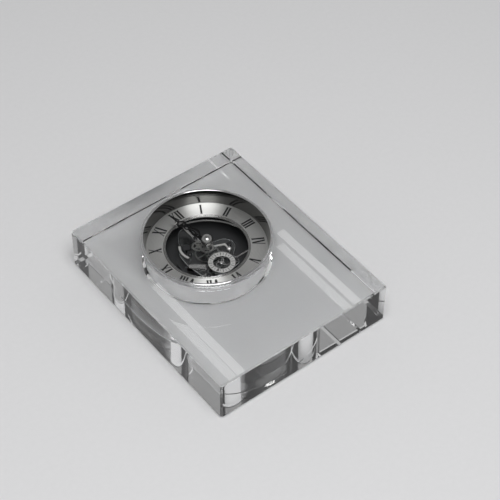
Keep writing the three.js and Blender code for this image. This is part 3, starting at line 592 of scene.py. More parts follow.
def arc(radius: float, start: float, end: float, steps: int, at: Point = (0.0, 0.0)) -> list[Point]:
    """Lists points along a circular arc, both ends included.

    Args:
        radius: the arc's radius.
        start: first angle in degrees.
        end: last angle in degrees.
        steps: number of intervals.
        at: the arc's middle.

    Returns:
        The points.
    """
    angles = [math.radians(start + (end - start) * i / steps) for i in range(steps + 1)]
    return [(at[0] + radius * math.cos(a), at[1] + radius * math.sin(a)) for a in angles]


def hole(radius: float, at: Point = (0.0, 0.0), steps: int = 32) -> list[Point]:
    """Lists the corners of a round hole."""
    return arc(radius, 0, 360, steps, at)[:-1]


def placed(points: Iterable[Point], at: Point, turn: float) -> list[Point]:
    """Turns points round the middle of the dial and then moves them.

    Args:
        points: the points.
        at: how far they move.
        turn: radians anticlockwise.

    Returns:
        The points at their new place.
    """
    c, s = math.cos(turn), math.sin(turn)
    return [(at[0] + x * c - y * s, at[1] + x * s + y * c) for x, y in points]


# Sub-assemblies


@dataclass
class CrystalBlock:
    """Flat slab of optical crystal with a bore right through it."""

    width: float = 150.0
    height: float = 184.0
    depth: float = 36.0
    front_chamfer: float = 1.1
    back_chamfer: float = 1.8
    upright_chamfer: float = 1.4
    bore: float = 47.0
    bore_chamfer: float = 0.5
    bore_back_chamfer: float = 1.4

    def bevel_edges(self, low: float, high: float, width: float) -> None:
        """Chamfers the edges that lie wholly between two levels.

        Args:
            low: lowest level.
            high: highest level.
            width: the chamfer's width.
        """
        bpy.ops.mesh.select_mode(type="EDGE")
        bpy.ops.mesh.select_all(action="DESELECT")
        shape = bmesh.from_edit_mesh(bpy.context.object.data)
        for edge in shape.edges:
            levels = [corner.co.z / MM for corner in edge.verts]
            edge.select_set(low - 0.01 < min(levels) and max(levels) < high + 0.01)
        bmesh.update_edit_mesh(bpy.context.object.data)
        bpy.ops.mesh.bevel(offset=width * MM, segments=1, affect="EDGES")

    def build(self) -> None:
        """Shapes the slab, chamfers its edges and bores it."""
        bpy.ops.object.select_all(action="DESELECT")
        bpy.ops.mesh.primitive_plane_add(size=MM)
        slab = bpy.context.object
        slab.name = "crystal_slab"
        bpy.ops.object.mode_set(mode="EDIT")
        bpy.ops.mesh.select_all(action="SELECT")
        bpy.ops.transform.resize(value=(self.width, self.height, 1))
        bpy.ops.mesh.select_mode(type="VERT")
        bpy.ops.mesh.bevel(offset=self.upright_chamfer * MM, segments=1, affect="VERTICES")
        bpy.ops.mesh.select_all(action="SELECT")
        pulled(0, 0, self.depth)
        self.bevel_edges(0, 0, self.back_chamfer)
        self.bevel_edges(self.depth, self.depth, self.front_chamfer)
        close_up()
        past = 1.0
        tool = turned("bore_tool", [
            (0, -past), (self.bore + self.bore_back_chamfer + past, -past),
            (self.bore, self.bore_back_chamfer), (self.bore, self.depth - self.bore_chamfer),
            (self.bore + self.bore_chamfer + past, self.depth + past), (0, self.depth + past)],
            steps=RING_STEPS)
        dress(cut_away(slab, tool), Finish.CRYSTAL, "crystal_block", slot="crystal", crease=20)


@dataclass
class InsertShell:
    """Case, seat ring, spacer, dial, beads, mirror wall and rim of the insert."""

    rim_outer: float = 49.0
    rim_inner: float = 46.9
    rim_foot: float = 36.02
    rim_top: float = 39.88
    wall_foot: float = 28.3
    dial_outer: float = 45.4
    dial_inner: float = 30.6
    dial_bottom: float = 27.4
    dial_top: float = 28.2
    case_outer: float = 46.2
    case_back: float = 8.8
    case_wall: float = 0.7
    case_floor: float = 0.8
    seat_low: float = 14.0
    seat_high: float = 26.0
    seat_edge: float = 0.3
    floor_top: float = 10.2
    spacer_inner: float = 43.6
    spacer_foot: float = 1.3
    bead: float = 0.45

    def rim(self) -> None:
        """Turns the polished rim, with its rolled top."""
        out, inn, foot, top = self.rim_outer, self.rim_inner, self.rim_foot, self.rim_top
        profile = [(inn + 0.65, foot), (out - 0.15, foot), (out, foot + 0.15), (out, top - 0.9),
                   (out - 0.12, top - 0.45), (out - 0.4, top - 0.12), (out - 0.75, top),
                   (inn + 0.55, top), (inn + 0.2, top - 0.12), (inn + 0.02, top - 0.4),
                   (inn + 0.65, top - 0.42)]
        dress(turned("rim_polished", profile, steps=RING_STEPS), Finish.CHROME, "bezel", crease=50)

    def mirror_wall(self) -> None:
        """Turns the thin mirror wall between the dial and the rim."""
        low, high, base = self.wall_foot, self.rim_top - 0.5, self.dial_outer - 0.3
        profile = [(base, low), (self.case_outer, low), (self.case_outer, low + 0.8), (base + 0.5, low + 0.8),
                   (self.rim_inner + 0.38, high), (self.rim_inner, high)]
        # The wall's nickel tone is painted dark: painted shade for its dim reflections
        dress(turned("mirror_wall", profile, steps=RING_STEPS), Finish.NICKEL, "chapter_wall", crease=25)

    def dial(self) -> None:
        """Turns the dial ring and the two beads on its inner edge."""
        x0, x1, low, high = self.dial_inner, self.dial_outer, self.dial_bottom, self.dial_top
        ring = turned("dial_plate", [(x0, low), (x1, low), (x1, high), (x0, high)], steps=RING_STEPS)
        dress(chamfered(ring, 0.1), Finish.DIAL, "dial_ring", slot="silvered_dial")
        beads = []
        for i, middle in enumerate((x0 + self.bead, x0 + 3 * self.bead + 0.1)):
            section = [(middle + self.bead * math.cos(a), high - 0.02 + 0.5 * math.sin(a))
                       for a in [math.pi * k / 8 for k in range(9)]]
            beads.append(turned(f"bead_{i}", section, steps=RING_STEPS))
        dress(joined("dial_beads", beads), Finish.TUMBLED, "dial_lip", crease=50)

    def case(self) -> None:
        """Turns the cup that holds the insert, and the rubber ring that seats it in the bore."""
        out, low, wall, floor = self.case_outer, self.case_back, self.case_wall, self.case_floor
        cup = turned("case_cup", [
            (0, low), (out - 0.6, low), (out, low + 0.6), (out, self.dial_top),
            (out - wall, self.dial_top), (out - wall, low + floor), (0, low + floor)])
        # The cup's nickel tone is painted dark: painted shade for its dim reflections seen through the
        # crystal
        dress(cup, Finish.NICKEL, "insert_case")
        low, high, edge = self.seat_low, self.seat_high, self.seat_edge
        seat = turned("seat_band", [(out + 0.1, low), (out + 0.5, low), (out + 0.7, low + edge),
                                    (out + 0.7, high - edge), (out + 0.5, high), (out + 0.1, high)])
        dress(seat, Finish.RUBBER, "seat_ring", slot="black_rubber")

    def spacer(self) -> None:
        """Turns the dark spacer, and dresses its rounded foot brighter than its wall."""
        inner, out, low, high = self.spacer_inner, self.dial_outer, self.floor_top, self.dial_bottom
        spacer = turned("spacer_wall", [
            (inner - 1.1, low), (out, low), (out, high), (inner, high), (inner, low + self.spacer_foot),
            (inner - 0.5, low + 0.9), (inner - 0.9, low + 0.45)])
        dress(spacer, Finish.BLACK_NICKEL, "spacer_ring", slot="blackened_metal")
        spacer.data.materials.append(Finish.TUMBLED.material())
        for face in spacer.data.polygons:
            x, y, z = face.center / MM
            at_foot = z < low + self.spacer_foot + 0.05 and math.hypot(x, y - DIAL_Y) < inner
            face.material_index = 1 if at_foot and face.normal.z > 0.1 else 0

    def build(self) -> None:
        """Builds every piece of the shell."""
        self.rim()
        self.mirror_wall()
        self.dial()
        self.case()
        self.spacer()
        coat_nodes(Finish.ANODISED, "background_plate")


@dataclass
class Numerals:
    """Roman numerals of thick and thin strokes, printed on the dial with their feet inwards."""

    foot: float = 33.7
    height: float = 9.5
    thick: float = 1.4
    thin: float = 0.65
    serif: float = 0.3
    wide_serif: float = 1.9
    slim_serif: float = 1.3
    gap: float = 0.12
    level: float = 28.19
    film: float = 0.04
    texts: tuple[str, ...] = ("I", "II", "III", "IV", "V", "VI", "VII", "VIII", "IX", "X", "XI", "XII")

    def stroke(self, low: float, high: float, width: float) -> list[Point]:
        """Gives the corners of a stroke from the foot line to the head line."""
        foot, head, half = self.foot, self.foot + self.height, width / 2
        return [(low - half, foot), (low + half, foot), (high + half, head), (high - half, head)]

    def bars(self, places: Iterable[Point], low: float) -> list[list[Point]]:
        """Gives the corners of short serifs, each of a middle and a width, at a level."""
        high = low + self.serif
        return [[(x - w / 2, low), (x + w / 2, low), (x + w / 2, high), (x - w / 2, high)] for x, w in places]

    def letter(self, letter: str) -> tuple[Piece, float]:
        """Prints one letter at 12 o'clock, with its left side on the middle line.

        Args:
            letter: I, V or X.

        Returns:
            The letter and its width.
        """
        # Middles of the left and right strokes at the head, and the width, of V and X
        left, right, width = 0.95, 4.25, 5.2
        heads, feet = [(left, self.wide_serif), (right, self.slim_serif)], []
        if letter == "I":
            width = self.thick + 0.7
            strokes = [(width / 2, width / 2, self.thick)]
            heads = feet = [(width / 2, width)]
        elif letter == "V":
            strokes = [(2.5, left, self.thick), (2.75, right, self.thin)]
        else:
            strokes = [(right, left, self.thick), (left, right, self.thin)]
            feet = [(left, self.slim_serif), (right, self.wide_serif)]
        shapes = [self.stroke(*stroke) for stroke in strokes]
        shapes += self.bars(heads, self.foot + self.height - self.serif) + self.bars(feet, self.foot)
        films = [sheet_cut(f"stroke_{letter}_{i}", [shape], self.level, self.level + self.film + 0.002 * i)
                 for i, shape in enumerate(shapes)]
        return joined(f"letter_{letter}", films), width

    def build(self) -> None:
        """Prints the twelve numerals round the dial."""
        letters = {letter: self.letter(letter) for letter in "IVX"}
        prints = []
        for hour, text in enumerate(self.texts, start=1):
            across = -(sum(letters[c][1] + self.gap for c in text) - self.gap) / 2
            for i, c in enumerate(text):
                prints.append(copied(letters[c][0], f"print_{hour}_{i}", (across, 0), -30 * hour))
                across += letters[c][1] + self.gap
        for letter, _ in letters.values():
            bpy.data.objects.remove(letter)
        dress(joined("dial_numerals", prints), Finish.INK, slot="black_hands")


@dataclass
class Blade:
    """One openwork hand: a row of swellings, each with a window, and then a slim point.

    A swelling is its start and end on the blade, its half width and the width of its rails.
    """

    name: str
    node: str
    body: Body
    length: float
    hub: float
    bore: float
    level: float
    thickness: float
    turn: float
    swellings: tuple[tuple[float, float, float, float], ...]
    waist: float = 0.7
    tip: float = 0.3
    bridge: float = 1.1
    steps: int = 96

    def half_width(self, y: float) -> float:
        """Gives half the blade's width at one place.

        Args:
            y: distance from the middle of the dial.

        Returns:
            Half the width.
        """
        last = self.swellings[-1][1]
        if y > last:
            return self.waist + (self.tip - self.waist) * (y - last) / (self.length - last)
        for start, end, widest, _ in self.swellings:
            if start <= y <= end:
                return self.waist + (widest - self.waist) * math.sin(math.pi * (y - start) / (end - start))
        return self.waist

    def windows(self) -> list[list[Point]]:
        """Lists the long round window in each swelling.

        Returns:
            The windows' corners.
        """
        windows = []
        for low, high, widest, rail in self.swellings:
            middle, across, along = (low + high) / 2, widest - rail, (high - low) / 2 - self.bridge
            windows.append([(across * math.cos(a), middle + along * math.sin(a))
                            for a in [math.tau * k / 24 for k in range(24)]])
        return windows

    def build(self) -> None:
        """Cuts the hand and turns it to the time shown."""
        start = self.hub - 0.3
        reaches = [start + i / self.steps * (self.length - start) for i in range(1, self.steps + 1)]
        side = [(self.half_width(y), y) for y in reaches]
        edge = math.degrees(math.asin(self.waist / self.hub))
        outline = arc(self.hub, 90 + edge, 450 - edge, 36) + side + [(-x, y) for x, y in reversed(side)]
        flat = sheet_cut(self.name, [outline, hole(self.bore)] + self.windows(), self.level,
                         self.level + self.thickness, 0.08)
        blade = copied(flat, self.name, turn=self.turn)
        bpy.data.objects.remove(flat)
        blade.name = self.name
        dress(blade, Finish.LACQUER, self.node, slot="black_hands", body=self.body)


@dataclass
class Hands:
    """Openwork hands a little before 12, and the ball over them."""

    minutes_to_twelve: float = 1.5
    minute_level: float = 32.4
    hour_level: float = 31.0
    thickness: float = 0.5
    ball: float = 4.6
    ball_level: float = 34.6

    def build(self) -> None:
        """Cuts both hands and turns the ball."""
        Blade("minute_hand_openwork", "minute_hand", Body.MINUTE, length=38, hub=2.8, bore=0.72,
              level=self.minute_level, thickness=self.thickness, turn=6 * self.minutes_to_twelve,
              swellings=((4, 11.2, 1.4, 0.8), (11.2, 18.7, 1.6, 0.9), (18.7, 23.2, 1.8, 1.0),
                         (23.2, 30.2, 3.6, 1.7))).build()
        Blade("hour_hand_openwork", "hour_hand", Body.HOUR, length=27, hub=3.4, bore=1.47,
              level=self.hour_level, thickness=self.thickness, turn=0.5 * self.minutes_to_twelve,
              swellings=((4.4, 8.6, 1.9, 1.0), (8.6, 20, 3.3, 1.5), (20, 24, 1.6, 0.9))).build()
        seat = self.minute_level + self.thickness
        low = math.asin((seat - self.ball_level) / self.ball)
        angles = [low + (math.pi / 2 - low) * k / 24 for k in range(24)]
        round_side = [(self.ball * math.cos(a), self.ball_level + self.ball * math.sin(a)) for a in angles]
        ball = turned("ball_cap", [(0.0, seat)] + round_side + [(0.0, self.ball_level + self.ball)], steps=64)
        dress(ball, Finish.TUMBLED, "centre_cap", body=Body.MINUTE, crease=40)


@dataclass
class Wheel:
    """Toothed wheel with its crossings, pinion and arbor.

    The span is the arbor's lowest and highest level. The pinion, if any, has its number of
    leaves, its module and its two levels.
    """

    name: str
    body: Body
    node: str
    at: Point
    teeth: int
    module: float
    level: float
    arbor: float
    span: Point
    thickness: float = 0.6
    pinion: tuple[int, float, float, float] | None = None
    crossed: bool = True
    bore: float = 0.0
    finish: Finish = Finish.BRASS
    slot: str = "brass"
    tooth_gap: float = 0.1
    hub: float = 1.7
    half_spoke: float = 0.5

    def rim_of(self, teeth: int, module: float) -> list[Point]:
        """Lists the outline of rounded teeth that stop short of the pitch circle.

        Args:
            teeth: how many teeth.
            module: pitch diameter over the number of teeth.

        Returns:
            The outline's corners.
        """
        tip = teeth * module / 2 - self.tooth_gap
        root = tip - 1.6 * module
        half = (tip + root) / 2
        points = []
        for i in range(teeth):
            for r, part in ((root, 0.02), (half, 0.14), (tip, 0.24), (tip, 0.44), (half, 0.54), (root, 0.66)):
                a = math.tau * (i + part) / teeth
                points.append((self.at[0] + r * math.cos(a), self.at[1] + r * math.sin(a)))
        return points

    def windows(self) -> list[list[Point]]:
        """Lists four windows between straight arms.

        Returns:
            The windows' corners.
        """
        outer = self.teeth * self.module / 2 - 3.6 * self.module
        gap_out, gap_in = math.degrees(self.half_spoke / outer), math.degrees(self.half_spoke / self.hub)
        return [arc(outer, turn + gap_out, turn + 90 - gap_out, 12, self.at)
                + arc(self.hub, turn + 90 - gap_in, turn + gap_in, 4, self.at) for turn in (0, 90, 180, 270)]

    def build(self) -> None:
        """Cuts the wheel and its pinion and turns the arbor."""
        bores = [hole(self.bore, self.at, 24)] if self.bore else []
        loops = [self.rim_of(self.teeth, self.module)] + bores + (self.windows() if self.crossed else [])
        shells = [sheet_cut(self.name, loops, self.level, self.level + self.thickness, 0.05)]
        if self.pinion:
            leaves, module, low, high = self.pinion
            loops = [self.rim_of(leaves, module)] + bores
            shells.append(sheet_cut(f"{self.name}_leaves", loops, low, high, 0.04))
        (low, high), edge, r = self.span, 0.08, self.arbor
        profile = [(self.bore, low), (r, low), (r, high), (self.bore, high)]
        if not self.bore:
            profile = [(0, low), (r - edge, low), (r, low + edge), (r, high - edge), (r - edge, high),
                       (0, high)]
        shells.append(turned(f"{self.name}_arbor", profile, self.at, 32))
        dress(joined(self.name, shells), self.finish, self.node, slot=self.slot, body=self.body, crease=28)


def wheelwork() -> list[Wheel]:
    """Lists the wheels at the places and levels of the part.

    Returns:
        The wheels, ready to build.
    """
    fine, train, setting = 0.3, 0.4, 0.44
    hour = setting * 32 / 30
    return [
        Wheel("centre_wheel_cut", Body.CENTRE, "centre_wheel", (0, 0), 48, train, 19.6, 0.7, (13.0, 32.3)),
        Wheel("third_wheel_cut", Body.THIRD, "third_wheel", THIRD_AT, 45, train, 17.4, 0.5, (13.0, 23.7),
              pinion=(6, train, 19.2, 20.6)),
        Wheel("seconds_wheel_cut", Body.SECONDS, "seconds_wheel", SECONDS_AT, 30, train, 15.4, 0.5,
              (13.0, 25.8), pinion=(6, train, 17.0, 18.4)),
        Wheel("step_wheel_cut", Body.STEP, "step_wheel", STEP_AT, 36, fine, 20.7, 0.4, (13.0, 23.7),
              pinion=(6, train, 15.0, 16.4)),
        Wheel("hour_wheel_cut", Body.HOUR, "hour_wheel", (0, 0), 24, hour, 26.3, 2.06, (26.3, 31.0),
              bore=1.46),
        Wheel("cannon_pinion_cut", Body.MINUTE, "cannon_pinion", (0, 0), 8, setting, 24.4, 1.38, (24.4, 32.4),
              thickness=1.4, crossed=False, bore=0.78, finish=Finish.STEEL, slot="steel"),
        Wheel("motion_wheel_cut", Body.MOTION, "motion_wheel", MOTION_AT, 24, setting, 24.8, 0.4,
              (22.8, 27.5), pinion=(6, hour, 25.4, 27.3)),
        Wheel("setting_wheel_cut", Body.SETTING, "setting_arbor", SETTING_AT, 16, setting, 24.8, 0.4,
              (1.3, 25.6), crossed=False, finish=Finish.BLACK_NICKEL, slot="steel"),
    ]


@dataclass
class SecondsDisc:
    """Silver ring with curved spokes that turns once a minute at 6 o'clock."""

    at: Point = SECONDS_AT
    outer: float = 10.1
    inner: float = 6.5
    level: float = 25.8
    thickness: float = 0.7
    spokes: int = 3
    spoke_steps: int = 14
    marks: int = 24
    long_mark: Point = (1.3, 0.21)
    short_mark: Point = (0.75, 0.15)
    pointer: float = 213.0

    @property
    def face(self) -> float:
        """Level of the ring's upper face."""
        return self.level + self.thickness - 0.03

    def spoke(self, index: int) -> Piece:
        """Cuts one curved spoke from the hub to the ring.

        Args:
            index: which spoke.

        Returns:
            The spoke.
        """
        start, steps = math.tau * index / self.spokes, self.spoke_steps
        edges: dict[int, list[Point]] = {-1: [], 1: []}
        for side, line in edges.items():
            for k in range(steps + 1):
                r, a = 1.2 + k / steps * (self.inner - 0.9), start + 1.5 * k / steps
                off = side * (0.4 - 0.14 * math.sin(math.pi * k / steps))
                line.append((self.at[0] + r * math.cos(a) - off * math.sin(a + 0.5),
                             self.at[1] + r * math.sin(a) + off * math.cos(a + 0.5)))
        return sheet_cut(f"spoke_{index}", [edges[-1] + edges[1][::-1]], self.level + 0.04,
                         self.level + self.thickness - 0.04, 0.05)

    def printed(self, name: str, corners: Sequence[Point], turn: float, film: float) -> Piece:
        """Prints a flat shape on the ring, turned to its place by an angle in radians."""
        return sheet_cut(name, [placed(corners, self.at, turn)], self.face - 0.01, self.face + film)

    def build(self) -> None:
        """Turns the ring, adds spokes and hub, and prints the marks and the pointer."""
        x0, x1, low, high = self.inner, self.outer, self.level, self.face
        ring = turned("seconds_ring", [(x0, low), (x1, low), (x1, high - 0.12), (x1 - 0.12, high),
                                       (x0 + 0.12, high), (x0, high - 0.12)], self.at, 128)
        hub = turned("seconds_hub", [(0, low), (1.5, low), (1.5, high - 0.25), (1.1, high), (0, high)],
                     self.at, 32)
        whole = joined("seconds_disc_spoked", [ring, hub] + [self.spoke(i) for i in range(self.spokes)])
        dress(whole, Finish.SILVERED, "seconds_disc", body=Body.SECONDS)
        whole.data.materials.append(Finish.SILVER.material())
        for face in whole.data.polygons:
            x, y = face.center.x / MM - self.at[0], face.center.y / MM - DIAL_Y - self.at[1]
            face.material_index = 1 if math.hypot(x, y) < x0 - 0.1 else 0
        prints = []
        middle = (x0 + x1) / 2
        for i in range(self.marks):
            length, half = self.short_mark if i % 2 else self.long_mark
            corners = [(middle - length, -half), (middle + length, -half), (middle + length, half),
                       (middle - length, half)]
            prints.append(self.printed(f"mark_{i}", corners, math.tau * i / self.marks, 0.02))
        wedge = [(x0 - 0.05, 0), (x1 - 0.9, -1.0), (x1 - 0.9, 1.0)]
        prints.append(self.printed("pointer", wedge, math.radians(self.pointer), 0.03))
        dress(joined("seconds_marks", prints), Finish.INK, slot="black_hands", body=Body.SECONDS)


@dataclass
class Movement:
    """Plates, pillars, screws, arms and bridges that stand still."""

    plate_bottom: float = 22.6
    plate_top: float = 23.8
    plate_reach: float = 28.6
    plate_chamfer: float = 0.45
    tension: float = 0.4
    pillars: tuple[Point, ...] = ((17, -5), (0, 14.5), (-12.6, 4.6), (10.8, -21.2), (-14.4, -21.2))
    armed: tuple[int, ...] = (1, 3, 4)
    arm: float = 0.8
    arm_reach: float = 43.3
    bridge: float = 0.7
    head: float = 1.7
    shank: float = 0.6
    side_middle: Point = (-3.8, 7.2)
    side_outer: float = 14.0
    side_inner: float = 12.2
    side_from: float = 143.0
    side_to: float = 205.0
    bar_at: Point = (-15.9, -9.1)
    bar_turn: float = -38.0
    bar_half: float = 2.0
    bar_start: float = -4.2
    bar_end: float = 6.2
    stud_at: Point = (13.6, -9.2)
    lever_start: Point = (6.2, -0.1)
    lever_bend: Point = (14.0, -3.3)
    lever_half: float = 0.65
    lever_thickness: float = 0.6
    corners: tuple[Point, ...] = (
        (0.091, 0.944), (-0.07, 1), (-0.245, 0.927), (-0.483, 0.563), (-0.664, 0.28), (-0.699, -0.122),
        (-0.647, -0.49), (-0.594, -0.734), (-0.455, -0.853), (0, -0.892), (0.385, -0.839), (0.469, -0.699),
        (0.451, -0.538), (0.685, -0.301), (0.713, -0.091), (0.577, 0.084), (0.332, 0.161), (0.161, 0.385))

    def curve(self, steps: int = 9) -> list[Point]:
        """Lists a smooth closed line through the clear plate's corners.

        Args:
            steps: how many points between two corners.

        Returns:
            The line's points.
        """
        knots = [Vector(c) * self.plate_reach for c in self.corners]
        points = []
        for i in range(len(knots)):
            a, b, c, d = (knots[(i + k - 1) % len(knots)] for k in range(4))
            out, into = (c - a) * self.tension, (d - b) * self.tension
            for k in range(steps):
                t = k / steps
                p = ((2 * t**3 - 3 * t**2 + 1) * b + (t**3 - 2 * t**2 + t) * out
                     + (3 * t**2 - 2 * t**3) * c + (t**3 - t**2) * into)
                points.append((p.x, p.y))
        return points

    def front_plate(self) -> None:
        """Cuts the clear front plate, whose chamfered lobes catch the light."""
        bores = [((0, 0), 0.78), (SECONDS_AT, 0.58), (THIRD_AT, 0.58), (STEP_AT, 0.48), (ROTOR_AT, 0.48),
                 (SETTING_AT, 0.48), (MOTION_AT, 0.48)]
        bores += [(at, self.shank + 0.1) for at in self.pillars]
        plate = sheet_cut("front_plate_clear", [self.curve()] + [hole(r, at, 20) for at, r in bores],
                          self.plate_bottom, self.plate_top, self.plate_chamfer)
        dress(plate, Finish.ACRYLIC, "movement_front_plate", slot="clear_acrylic")
        plate.data.materials.append(Finish.ACRYLIC_EDGE.material())
        for face in plate.data.polygons:
            face.material_index = 1 if abs(face.normal.z) < 0.9 else 0

    def screw(self) -> Piece:
        """Turns one screw with a slotted head at the middle of the dial, its seat at level 0.

        Returns:
            The screw.
        """
        head, shank = self.head, self.shank
        screw = turned("screw", [
            (0, -2.5), (shank, -2.5), (shank, 0), (head, 0), (head, 0.6), (head - 0.08, 0.74),
            (head - 0.25, 0.85), (head - 0.5, 0.9), (0, 0.9)], steps=48)
        slot = sheet_cut("slot", [[(-2, -0.2), (2, -0.2), (2, 0.2), (-2, 0.2)]], 0.55, 2)
        return cut_away(screw, slot)

    def screws(self) -> None:
        """Sets the five plate screws, each with its slot turned another way."""
        model = self.screw()
        for i, at in enumerate(self.pillars):
            seat = self.plate_top + (self.arm if i in self.armed else 0) + 0.01
            turn = (35 + 67 * i) % 180
            spot = placed([at], (0.0, 0.0), math.radians(-turn))[0]
            dress(copied(model, f"slotted_screw_{i + 1}", spot, turn, seat), Finish.BLACK_NICKEL,
                  f"plate_screw_{i + 1}", slot="steel")
        bpy.data.objects.remove(model)

    def arm_cut(self, name: str, node: str, at: Point, direction: Point, length: float, half: float,
                inward: float, offset: float) -> None:
        """Cuts one flat arm with an eye round its screw.

        Args:
            name: the piece's name.
            node: the CAD node that it replaces.
            at: the screw's place.
            direction: unit vector along the arm.
            length: how far it reaches outwards.
            half: half its width.
            inward: how far it reaches inwards.
            offset: how far it runs beside its screw, to the left of its direction.
        """
        eye = self.head + 0.4
        aside, side = abs(offset), math.copysign(1, offset)
        edge = math.degrees(math.asin((half - aside) / eye))
        line = [(eye * math.cos(math.radians(edge)), aside - half), (length, aside - half),
                (length, aside + half)]
        if offset:
            line += [(0, aside + half)] + arc(eye, 90, 360 - edge, 32)[:-1]
        else:
            line += arc(eye, edge, 180 - edge, 14) + [(-inward, half), (-inward, -half)]
            line += arc(eye, 180 + edge, 360 - edge, 14)[:-1]
        dx, dy = direction
        loops = [[(at[0] + x * dx - y * side * dy, at[1] + x * dy + y * side * dx) for x, y in loop]
                 for loop in (line, hole(self.shank + 0.1, steps=20))]
        arm = sheet_cut(name, loops, self.plate_top, self.plate_top + self.arm, 0.15)
        dress(arm, Finish.SILVER, node)

    def arms(self) -> None:
        """Cuts the three arms that carry the movement in its case."""
        for name, node, i, direction, half, inward, offset in (
                ("top_arm_silvered", "carrier_arm_top", 1, (0.0, 1.0), 1.5, 6.0, 0.0),
                ("right_arm_silvered", "carrier_arm_right", 3, (1.0, 0.0), 0.55, 0.0, 2.0),
                ("left_arm_silvered", "carrier_arm_left", 4, (-1.0, 0.0), 0.55, 0.0, -2.0)):
            x, y = self.pillars[i]
            along = x * direction[0] + y * direction[1]
            across = abs(x * direction[1] - y * direction[0] - offset)
            length = math.sqrt(self.arm_reach**2 - (across + half) ** 2) - along
            self.arm_cut(name, node, (x, y), direction, length, half, inward, offset)

    def bridges(self) -> None:
        """Cuts the curved side bridge and the lower bar."""
        low, high = self.plate_top, self.plate_top + self.bridge
        side = (arc(self.side_outer, self.side_from, self.side_to, 28, self.side_middle)
                + arc(self.side_inner, self.side_to, self.side_from, 28, self.side_middle))
        dress(sheet_cut("side_bridge_silvered", [side], low, high, 0.18), Finish.SILVERED, "side_bridge")
        start, end, half = self.bar_start, self.bar_end, self.bar_half
        bar = [(start, -half), (end, -half), (end, half), (start, half)]
        bar += arc(half, 90, 270, 16, (start, 0))[1:-1]
        bar = placed(bar, self.bar_at, math.radians(self.bar_turn))
        dress(sheet_cut("lower_bridge_silvered", [bar], low, high, 0.2), Finish.SILVER, "lower_bridge")

    def lever(self) -> None:
        """Cuts the bent lever with an eye round its stud."""
        low, half = self.plate_top, self.lever_half
        start, bend, stud = Vector(self.lever_start), Vector(self.lever_bend), Vector(self.stud_at)
        first, second = (bend - start).normalized(), (stud - bend).normalized()
        left, aside = (Vector((-way.y, way.x)) * half for way in (first, second))
        heading = math.degrees(math.atan2(second.y, second.x))
        edge = math.degrees(math.asin(half / self.head))
        ring = arc(self.head, heading + 180 + edge, heading + 540 - edge, 28, self.stud_at)
        knee = arc(half, math.degrees(math.atan2(left.y, left.x)), math.degrees(math.atan2(aside.y, aside.x)),
                   8, self.lever_bend)
        inner = bend - (left + aside) / (1 + first.dot(second))
        outline = [tuple(start - left), tuple(inner)] + ring + knee[::-1] + [tuple(start + left)]
        lever = sheet_cut("lever_silvered", [outline, hole(self.shank + 0.1, self.stud_at, 20)], low,
                          low + self.lever_thickness, 0.12)
        dress(lever, Finish.SILVERED, "lever")

    def stud(self) -> None:
        """Turns the domed stud that stands on the lever."""
        foot, shank, head = self.plate_top, self.shank, self.head
        seat = foot + self.lever_thickness + 0.01
        brim = seat + 0.4
        angles = [math.pi / 2 * k / 10 for k in range(1, 10)]
        dome = [(head * math.cos(a), brim + math.sin(a)) for a in angles]
        knob = [(0, foot), (shank, foot), (shank, seat), (head, seat), (head, brim), *dome, (0, brim + 0.99)]
        dress(turned("stud_domed", knob, self.stud_at, 48), Finish.SILVERED, "stud", crease=40)

    def build(self) -> None:
        """Builds the bright pieces and gives the hidden CAD nodes their finishes."""
        self.front_plate()
        self.screws()
        self.arms()
        self.bridges()
        self.lever()
        self.stud()
        coat_nodes(Finish.ANODISED, "movement_rear_plate")
        coat_nodes(Finish.STEEL, "battery", *[f"pillar_{i}" for i in range(1, 6)],
                   *[f"cover_screw_{i}" for i in range(1, 4)])
        coat_nodes(Finish.IRON, "stator", "coil_core")
        coat_nodes(Finish.COPPER, "coil_winding")
        coat_nodes(Finish.MAGNET, "rotor")
        coat_nodes(Finish.BOARD, "circuit_board")
        coat_nodes(Finish.BRASS, "contact_top", "contact_side")
        coat_nodes(Finish.PLASTIC, "coil_bobbin", "rear_cover", "battery_cover", "setting_knob")


# Studio


@dataclass
class SoftBox:
    """Rectangular soft light aimed at a point."""

    name: str
    at: Triple
    width: float
    length: float
    glow: float
    aim: Triple = (0.0, 0.0, 0.02)

    def build(self) -> None:
        """Hangs the light with its length along Y and points it at its aim."""
        bpy.ops.object.light_add(type="AREA", location=self.at)
        lamp = bpy.context.object
        lamp.name = self.name
        lamp.data.shape = "RECTANGLE"
        lamp.data.size = self.width
        lamp.data.size_y = self.length
        lamp.data.energy = self.glow * math.pi * self.width * self.length
        lamp.rotation_euler = (Vector(self.aim) - Vector(self.at)).to_track_quat("-Z", "Y").to_euler()


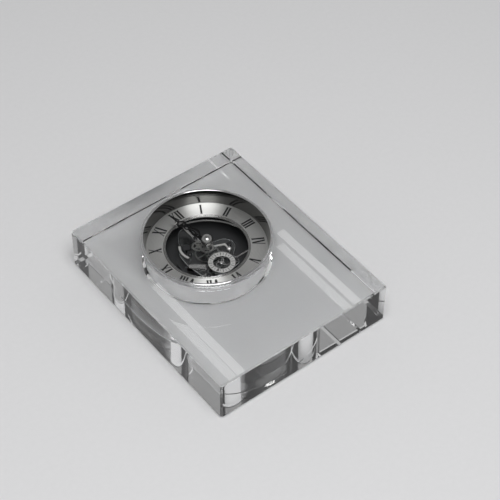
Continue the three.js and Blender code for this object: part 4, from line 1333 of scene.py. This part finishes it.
@dataclass
class Studio:
    """Pale floor, surroundings that darken overhead, soft lights and the photograph's camera."""

    camera_at: Triple = (-0.4660, -0.6119, 0.8733)
    camera_forward: Triple = (0.42399, 0.53203, -0.73292)
    camera_right: Triple = (0.78813, -0.61544, 0.00918)
    lens: float = 112.37
    floor_size: float = 12.0
    horizon: float = 0.65
    zenith: float = 0.15
    lights: list[SoftBox] = field(default_factory=lambda: [
        SoftBox("key_overhead", (-0.23, -0.50, 1.50), 0.9, 0.9, 7.0),
        SoftBox("strip_left", (0.61, 0.74, 1.4), 0.018, 0.57, 3.2, (0.61, 0.74, 0.0)),
        SoftBox("strip_right", (0.885, 0.73, 1.4), 0.018, 0.52, 3.2, (0.885, 0.73, 0.0)),
    ])

    def camera(self) -> None:
        """Sets the camera that matches the photograph."""
        right, ahead = Vector(self.camera_right), Vector(self.camera_forward)
        up = right.cross(ahead)
        bpy.ops.object.camera_add()
        camera = bpy.context.object
        camera.name = "camera"
        turn = Matrix((right, up, -ahead)).transposed().to_4x4()
        camera.matrix_world = Matrix.Translation(self.camera_at) @ turn
        camera.data.lens = self.lens
        camera.data.sensor_width = 36.0
        camera.data.clip_start = 0.01
        bpy.context.scene.camera = camera

    def floor(self) -> None:
        """Lays the pale floor."""
        bpy.ops.object.select_all(action="DESELECT")
        bpy.ops.mesh.primitive_plane_add(size=self.floor_size, location=(0, 0, -0.0002))
        floor = bpy.context.object
        floor.name = "studio_floor"
        material, tree, out = start_material("studio_paper_pale_grey")
        paper = grain(tree, 4.0)
        matt = add_node(tree, "ShaderNodeBsdfDiffuse", {}, {
            "Color": two_tones(tree, "#dededf", "#dadadb", paper.outputs["Fac"])})
        tree.links.new(matt.outputs["BSDF"], out.inputs["Surface"])
        floor.data.materials.append(material)

    def world(self) -> None:
        """Makes surroundings that are bright at the horizon and dim overhead."""
        world = bpy.data.worlds.new("studio")
        bpy.context.scene.world = world
        world.use_nodes = True
        tree = world.node_tree
        tree.nodes.clear()
        way = add_node(tree, "ShaderNodeTexCoord")
        parts = add_node(tree, "ShaderNodeSeparateXYZ", {}, {"Vector": way.outputs["Generated"]})
        strength = add_node(tree, "ShaderNodeMapRange", {"To Min": self.horizon, "To Max": self.zenith},
                            {"Value": parts.outputs["Z"]})
        sky = add_node(tree, "ShaderNodeBackground", {"Color": linear("#ffffff")},
                       {"Strength": strength.outputs["Result"]})
        out = add_node(tree, "ShaderNodeOutputWorld")
        tree.links.new(sky.outputs["Background"], out.inputs["Surface"])

    def build(self) -> None:
        """Sets the stage."""
        self.camera()
        self.floor()
        self.world()
        for light in self.lights:
            light.build()
        bpy.context.scene.view_settings.view_transform = "Standard"


def main() -> None:
    """Builds the studio and then the clock, from the block inwards."""
    logging.basicConfig(level=logging.INFO, format="%(name)s: %(message)s")
    Studio().build()
    CrystalBlock().build()
    InsertShell().build()
    Numerals().build()
    Movement().build()
    for wheel in wheelwork():
        wheel.build()
    SecondsDisc().build()
    Hands().build()


if __name__ == "__main__":
    main()
